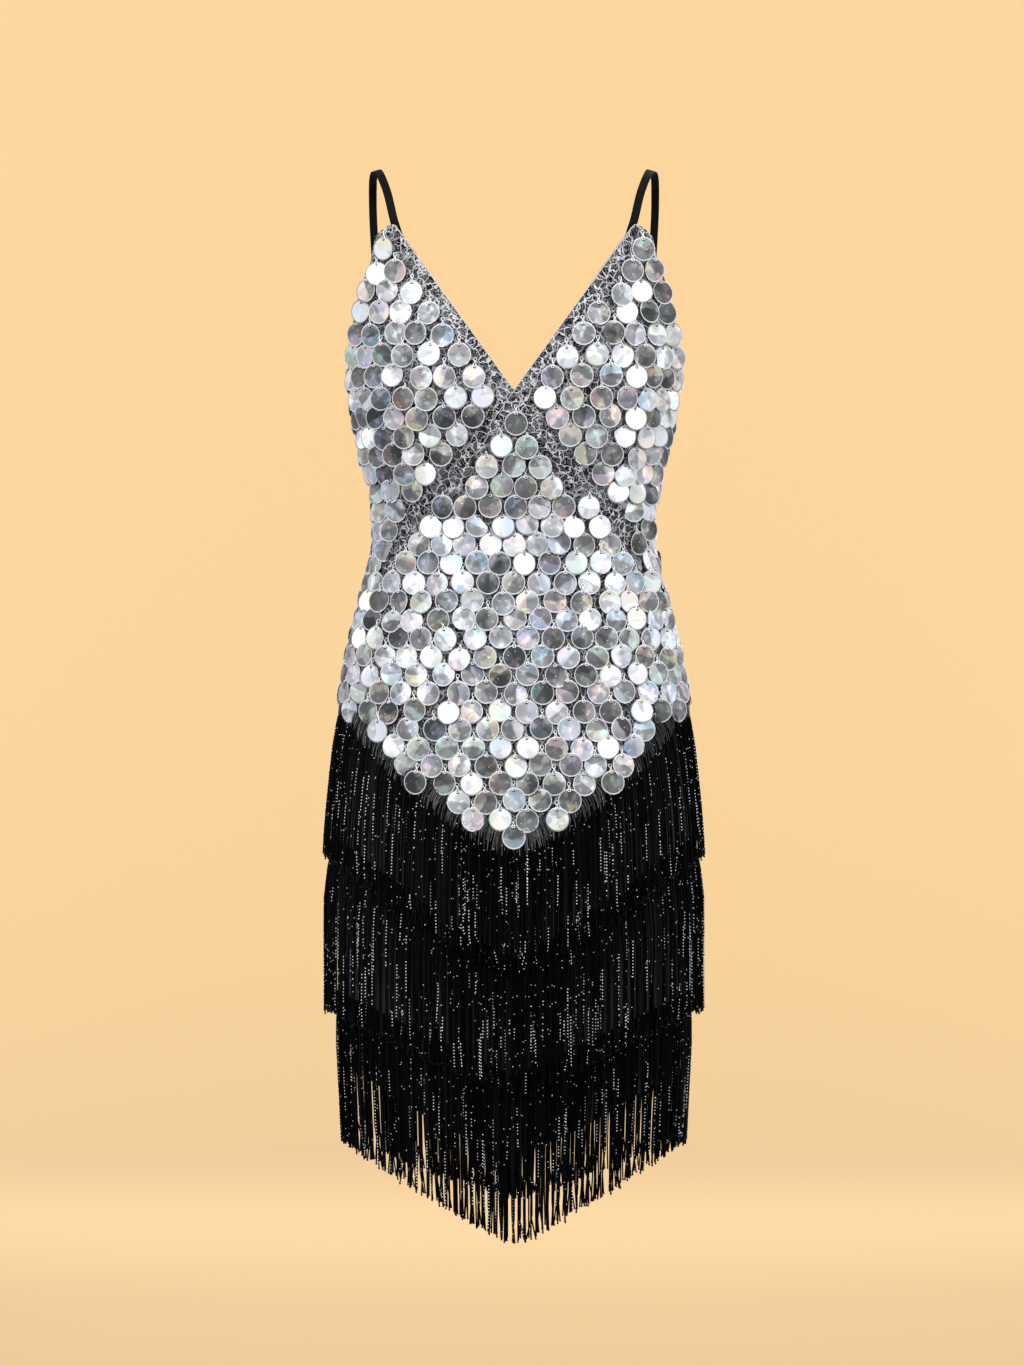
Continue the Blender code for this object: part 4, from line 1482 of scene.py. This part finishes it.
class DRESS_OT_fringe(bpy.types.Operator):
    """Three tiers of fine black strands with glass beads, each on its head tape"""
    bl_idname = "dress.fringe"
    bl_label = "Beaded Fringe"

    def execute(self, context):
        settings = context.scene.dress_fringe
        rng = np.random.default_rng(settings.seed)
        strands, beads = strand_tree(), bead_tree()
        black, glass = strand_black(settings), bead_glass(settings)
        for tier in TIERS:
            paths = strand_paths(settings, tier, rng)
            length = lengths_along(paths)
            # How much painted highlight each strand takes
            shade = np.repeat(rng.beta(*STRAND_SHADES, len(paths)), len(STRAND_PARTS))
            source = lines("strand_lines", paths, along=length / (settings.bead_pitch / MM),
                           shade=shade)
            piece = strands.run(tier + "_strands", source, black,
                                Radius=settings.radius * THICKER[tier], Sides=3)
            piece.data.shade_smooth()
            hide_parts(tier)
            source = bead_cloud(settings, paths, length, rng)
            piece = beads.run(tier + "_beads", source, glass, Radius=settings.bead_radius)
            self.head_tape(context, tier)
        paths = comb_paths(rng)
        shade = np.repeat(rng.uniform(*COMB_SHADES, len(paths)), len(COMB_PARTS))
        source = lines("comb_lines", paths, shade=shade)
        piece = strands.run("fringe_head_threads", source, head_thread(settings),
                            Radius=settings.comb_radius, Sides=3)
        piece.data.shade_smooth()
        return {"FINISHED"}

    def head_tape(self, context, tier):
        """The ribbed tape that the strands are sewn to, as a closed ring on the skirt."""
        cloth = context.scene.dress_cloth
        tape = knit(tier + "_tape_knit", cloth.knit_black, cloth.knit_light)
        angles = np.arange(0, 361.0, TAPE_STEP) - 180.0
        top = on_line(TIERS[tier][0], angles)
        height = top[:, None] - HEAD_WIDTH * np.linspace(0, 1, TAPE_ROWS + 1)[None]
        turn = np.broadcast_to(angles[:, None], height.shape)
        rib = TAPE_RIB * np.sin(np.radians(turn) * TAPE_RIBS)
        points, faces = two_skins(laid_on(turn, height, TAPE_OUT + rib),
                                  laid_on(turn, height, TAPE_IN + rib * 0))
        piece = new_piece(tier + "_tape", points, faces, tape)
        add_body_map(piece.data, turn, height)
        weld(piece.data)
        line = laid_on(angles, top, TAPE_LINE + 0 * angles)


def weld(mesh):
    """Merges the first and last columns of a closed ring and drops the walls between them."""
    bm = bmesh.new()
    bm.from_mesh(mesh)
    bmesh.ops.remove_doubles(bm, verts=bm.verts[:], dist=MERGED)
    inner = [face for face in bm.faces if all(len(edge.link_faces) > 2 for edge in face.edges)]
    bmesh.ops.delete(bm, geom=inner, context="FACES_ONLY")
    loose = [face for face in bm.faces
             if sum(len(edge.link_faces) > 2 for edge in face.edges) >= 2]
    bmesh.ops.delete(bm, geom=loose, context="FACES_ONLY")
    bm.to_mesh(mesh)
    bm.free()
    mesh.shade_smooth()


# Beads: strands with beads, strands with a run of them, loose ones a strand, kept ones in a run
BEADED_SHARE, RUN_SHARE, LOOSE_BEADS, KEPT_BEADS = 0.8, 0.38, 2, 0.9
END_BEAD, LOOSE_SIZE = 1.7, 0.8  # times the size of those in runs
BEAD_OUT, BEAD_HEAD_ROOM, BEAD_END_ROOM = 0.6, 8.0, 1.0
RUN_STARTS, RUN_LENGTHS = (0.15, 0.85), (0.08, 0.4)  # shares of the strand
# How bright each run's painted glint is, and how much each bead strays from it
GLINTS, GLINT_SPREAD = (0.4, 1.3), 0.2


def bead_cloud(settings, paths, length, rng):
    """Beads in runs along some of the strands, on the side that faces out, and one at each end."""
    pitch = settings.bead_pitch / MM
    points, glints, sizes = [paths[:, -1]], [np.zeros(len(paths))], [np.full(len(paths), END_BEAD)]
    for path, along in zip(paths, length):
        if rng.random() > BEADED_SHARE:
            continue
        last = along[-1] - BEAD_END_ROOM
        places = rng.uniform(BEAD_HEAD_ROOM, last, LOOSE_BEADS)
        if rng.random() < RUN_SHARE:
            start = along[-1] * rng.uniform(*RUN_STARTS)
            stop = min(last, start + along[-1] * rng.uniform(*RUN_LENGTHS))
            run = np.arange(start, stop, pitch)
            places = np.concatenate((places, run[rng.random(len(run)) < KEPT_BEADS]))
        run = np.stack([np.interp(places, along, path[:, axis]) for axis in range(3)], -1)
        run[:, :2] += unit(run[:, :2]) * BEAD_OUT
        points.append(run)
        glint = rng.normal(rng.uniform(*GLINTS), GLINT_SPREAD, len(places))
        glints.append(np.clip(glint, 0, 1))
        sizes.append(np.where(np.arange(len(places)) < LOOSE_BEADS, LOOSE_SIZE, 1.0))
    return cloud("bead_cloud", np.concatenate(points), glint=np.concatenate(glints),
                 size=np.concatenate(sizes))


# Stage

PHOTO_WIDTH, PHOTO_HEIGHT = 1024, 1365
ORIGIN_PIXEL_X, ORIGIN_PIXEL_Y = 514, 171
SENSOR = 36.0
FLOOR = -1.25
FLOOR_REACH, BACKDROP_DISTANCE, BACKDROP_ROUND, BACKDROP_TOP = 24.0, 24.0, 6.0, 12.0
BACKDROP_STEPS, BACKDROP_ROUGHNESS = 16, 0.9
CAMERA_SEES = 100.0
DRESS_MIDDLE = (0.0, 0.0, -0.45)
WORLD_COLOR, WORLD_STRENGTH = (0.96, 0.97, 1.0, 1.0), 0.42
# Soft boxes: name, place, aim, width and height, power, spread in degrees
LIGHTS = (
    ("key_soft_box", (-1.6, -3.2, 1.3), DRESS_MIDDLE, (1.6, 2.2), 95, 180),
    ("fill_soft_box", (2.2, -2.6, 0.2), DRESS_MIDDLE, (1.4, 2.4), 55, 180),
    ("top_soft_box", (0.2, -0.8, 2.3), DRESS_MIDDLE, (2.0, 1.2), 38, 180),
    ("left_strip", (-2.4, 0.4, -0.2), DRESS_MIDDLE, (0.5, 2.2), 12, 180),
    ("right_strip", (2.4, 0.5, -0.2), DRESS_MIDDLE, (0.5, 2.2), 12, 180),
    ("back_soft_box", (1.6, 3.4, 0.9), DRESS_MIDDLE, (1.6, 2.2), 45, 180),
    ("backdrop_left", (-7.0, 17.0, 3.0), (-1.5, BACKDROP_DISTANCE, -1.0), (6.0, 8.0), 1040, 180),
    ("backdrop_right", (7.0, 17.0, 3.0), (1.5, BACKDROP_DISTANCE, -1.0), (6.0, 8.0), 1040, 180),
    ("floor_soft_box", (0.0, 9.5, 4.0), (0.0, 9.51, FLOOR), (6.0, 11.0), 268, 90),
)


class DRESS_OT_stage(bpy.types.Operator):
    """A plain pale backdrop that sweeps into the floor, soft lights and the camera"""
    bl_idname = "dress.stage"
    bl_label = "Stage"

    def execute(self, context):
        settings = context.scene.dress_stage
        context.scene.view_settings.view_transform = "Standard"
        self.backdrop(settings)
        self.lights(context, settings)
        self.camera(context, settings)
        return {"FINISHED"}

    def backdrop(self, settings):
        """A floor and a wall joined by a quarter round."""
        turn = np.linspace(0, math.pi / 2, BACKDROP_STEPS)
        radius, wall_y = BACKDROP_ROUND, BACKDROP_DISTANCE
        bend = [(wall_y - radius + radius * math.sin(a), FLOOR + radius - radius * math.cos(a))
                for a in turn]
        line = [(-FLOOR_REACH, FLOOR), *bend, (wall_y, BACKDROP_TOP)]
        points = [(x / MM, y / MM, z / MM) for x in (-FLOOR_REACH, FLOOR_REACH) for y, z in line]
        count = len(line)
        faces = [(i, i + count, i + count + 1, i + 1) for i in range(count - 1)]
        sweep = new_piece("backdrop_sweep", points, faces,
                          plain_paint("backdrop_paint", settings.backdrop, BACKDROP_ROUGHNESS),
                          body=None)
        sweep.visible_glossy = sweep.visible_diffuse = False

    def lights(self, context, settings):
        for name, place, aim, size, power, spread in LIGHTS:
            data = bpy.data.lights.new(name, "AREA")
            data.shape = "RECTANGLE"
            data.size, data.size_y = size
            data.energy = power * settings.light
            data.spread = math.radians(spread)
            item = put_in_scene(name, data)
            item.location = place
            toward = Vector(aim) - Vector(place)
            item.rotation_euler = toward.to_track_quat("-Z", "Y").to_euler()
        world = context.scene.world or bpy.data.worlds.new("studio")
        context.scene.world = world
        world.use_nodes = True
        ground = world.node_tree.nodes["Background"]
        ground.inputs["Color"].default_value = WORLD_COLOR
        ground.inputs["Strength"].default_value = WORLD_STRENGTH * settings.light

    def camera(self, context, settings):
        """The photo's straight front view, framed as in the photo."""
        pixel, distance = settings.pixel, settings.distance
        data = bpy.data.cameras.new("front_camera")
        data.sensor_width = SENSOR
        data.lens = SENSOR * distance / (PHOTO_HEIGHT * pixel)
        data.clip_end = CAMERA_SEES
        item = put_in_scene("front_camera", data)
        x = (PHOTO_WIDTH / 2 - ORIGIN_PIXEL_X) * pixel
        z = -(PHOTO_HEIGHT / 2 - ORIGIN_PIXEL_Y) * pixel
        item.location = (x, -distance, z)
        item.rotation_euler = (math.radians(90), 0, 0)
        context.scene.camera = item


class DRESS_PT_panel(bpy.types.Panel):
    """Settings and pieces of the dress"""
    bl_idname = "DRESS_PT_panel"
    bl_label = "Fringe Dress"
    bl_space_type = "VIEW_3D"
    bl_region_type = "UI"
    bl_category = "Dress"

    def draw(self, context):
        for operator in OPERATORS:
            self.layout.operator(operator.bl_idname)
        for key, group in SETTINGS.items():
            box = self.layout.box()
            box.label(text=group.__name__.replace("Dress", "").replace("Settings", ""))
            for name in group.__annotations__:
                box.prop(getattr(context.scene, key), name)


OPERATORS = (
    DRESS_OT_stage, DRESS_OT_bodice, DRESS_OT_skirt, DRESS_OT_straps, DRESS_OT_discs,
    DRESS_OT_fringe,
)


def register():
    for item in (*SETTINGS.values(), *OPERATORS, DRESS_PT_panel):
        bpy.utils.register_class(item)
    for key, group in SETTINGS.items():
        setattr(bpy.types.Scene, key, PointerProperty(type=group))


def unregister():
    for key in SETTINGS:
        delattr(bpy.types.Scene, key)
    for item in reversed((*SETTINGS.values(), *OPERATORS, DRESS_PT_panel)):
        bpy.utils.unregister_class(item)


def main():
    register()
    bpy.ops.dress.stage()
    bpy.ops.dress.bodice()
    bpy.ops.dress.skirt()
    bpy.ops.dress.straps()
    bpy.ops.dress.discs()
    bpy.ops.dress.fringe()


if __name__ == "__main__":
    main()
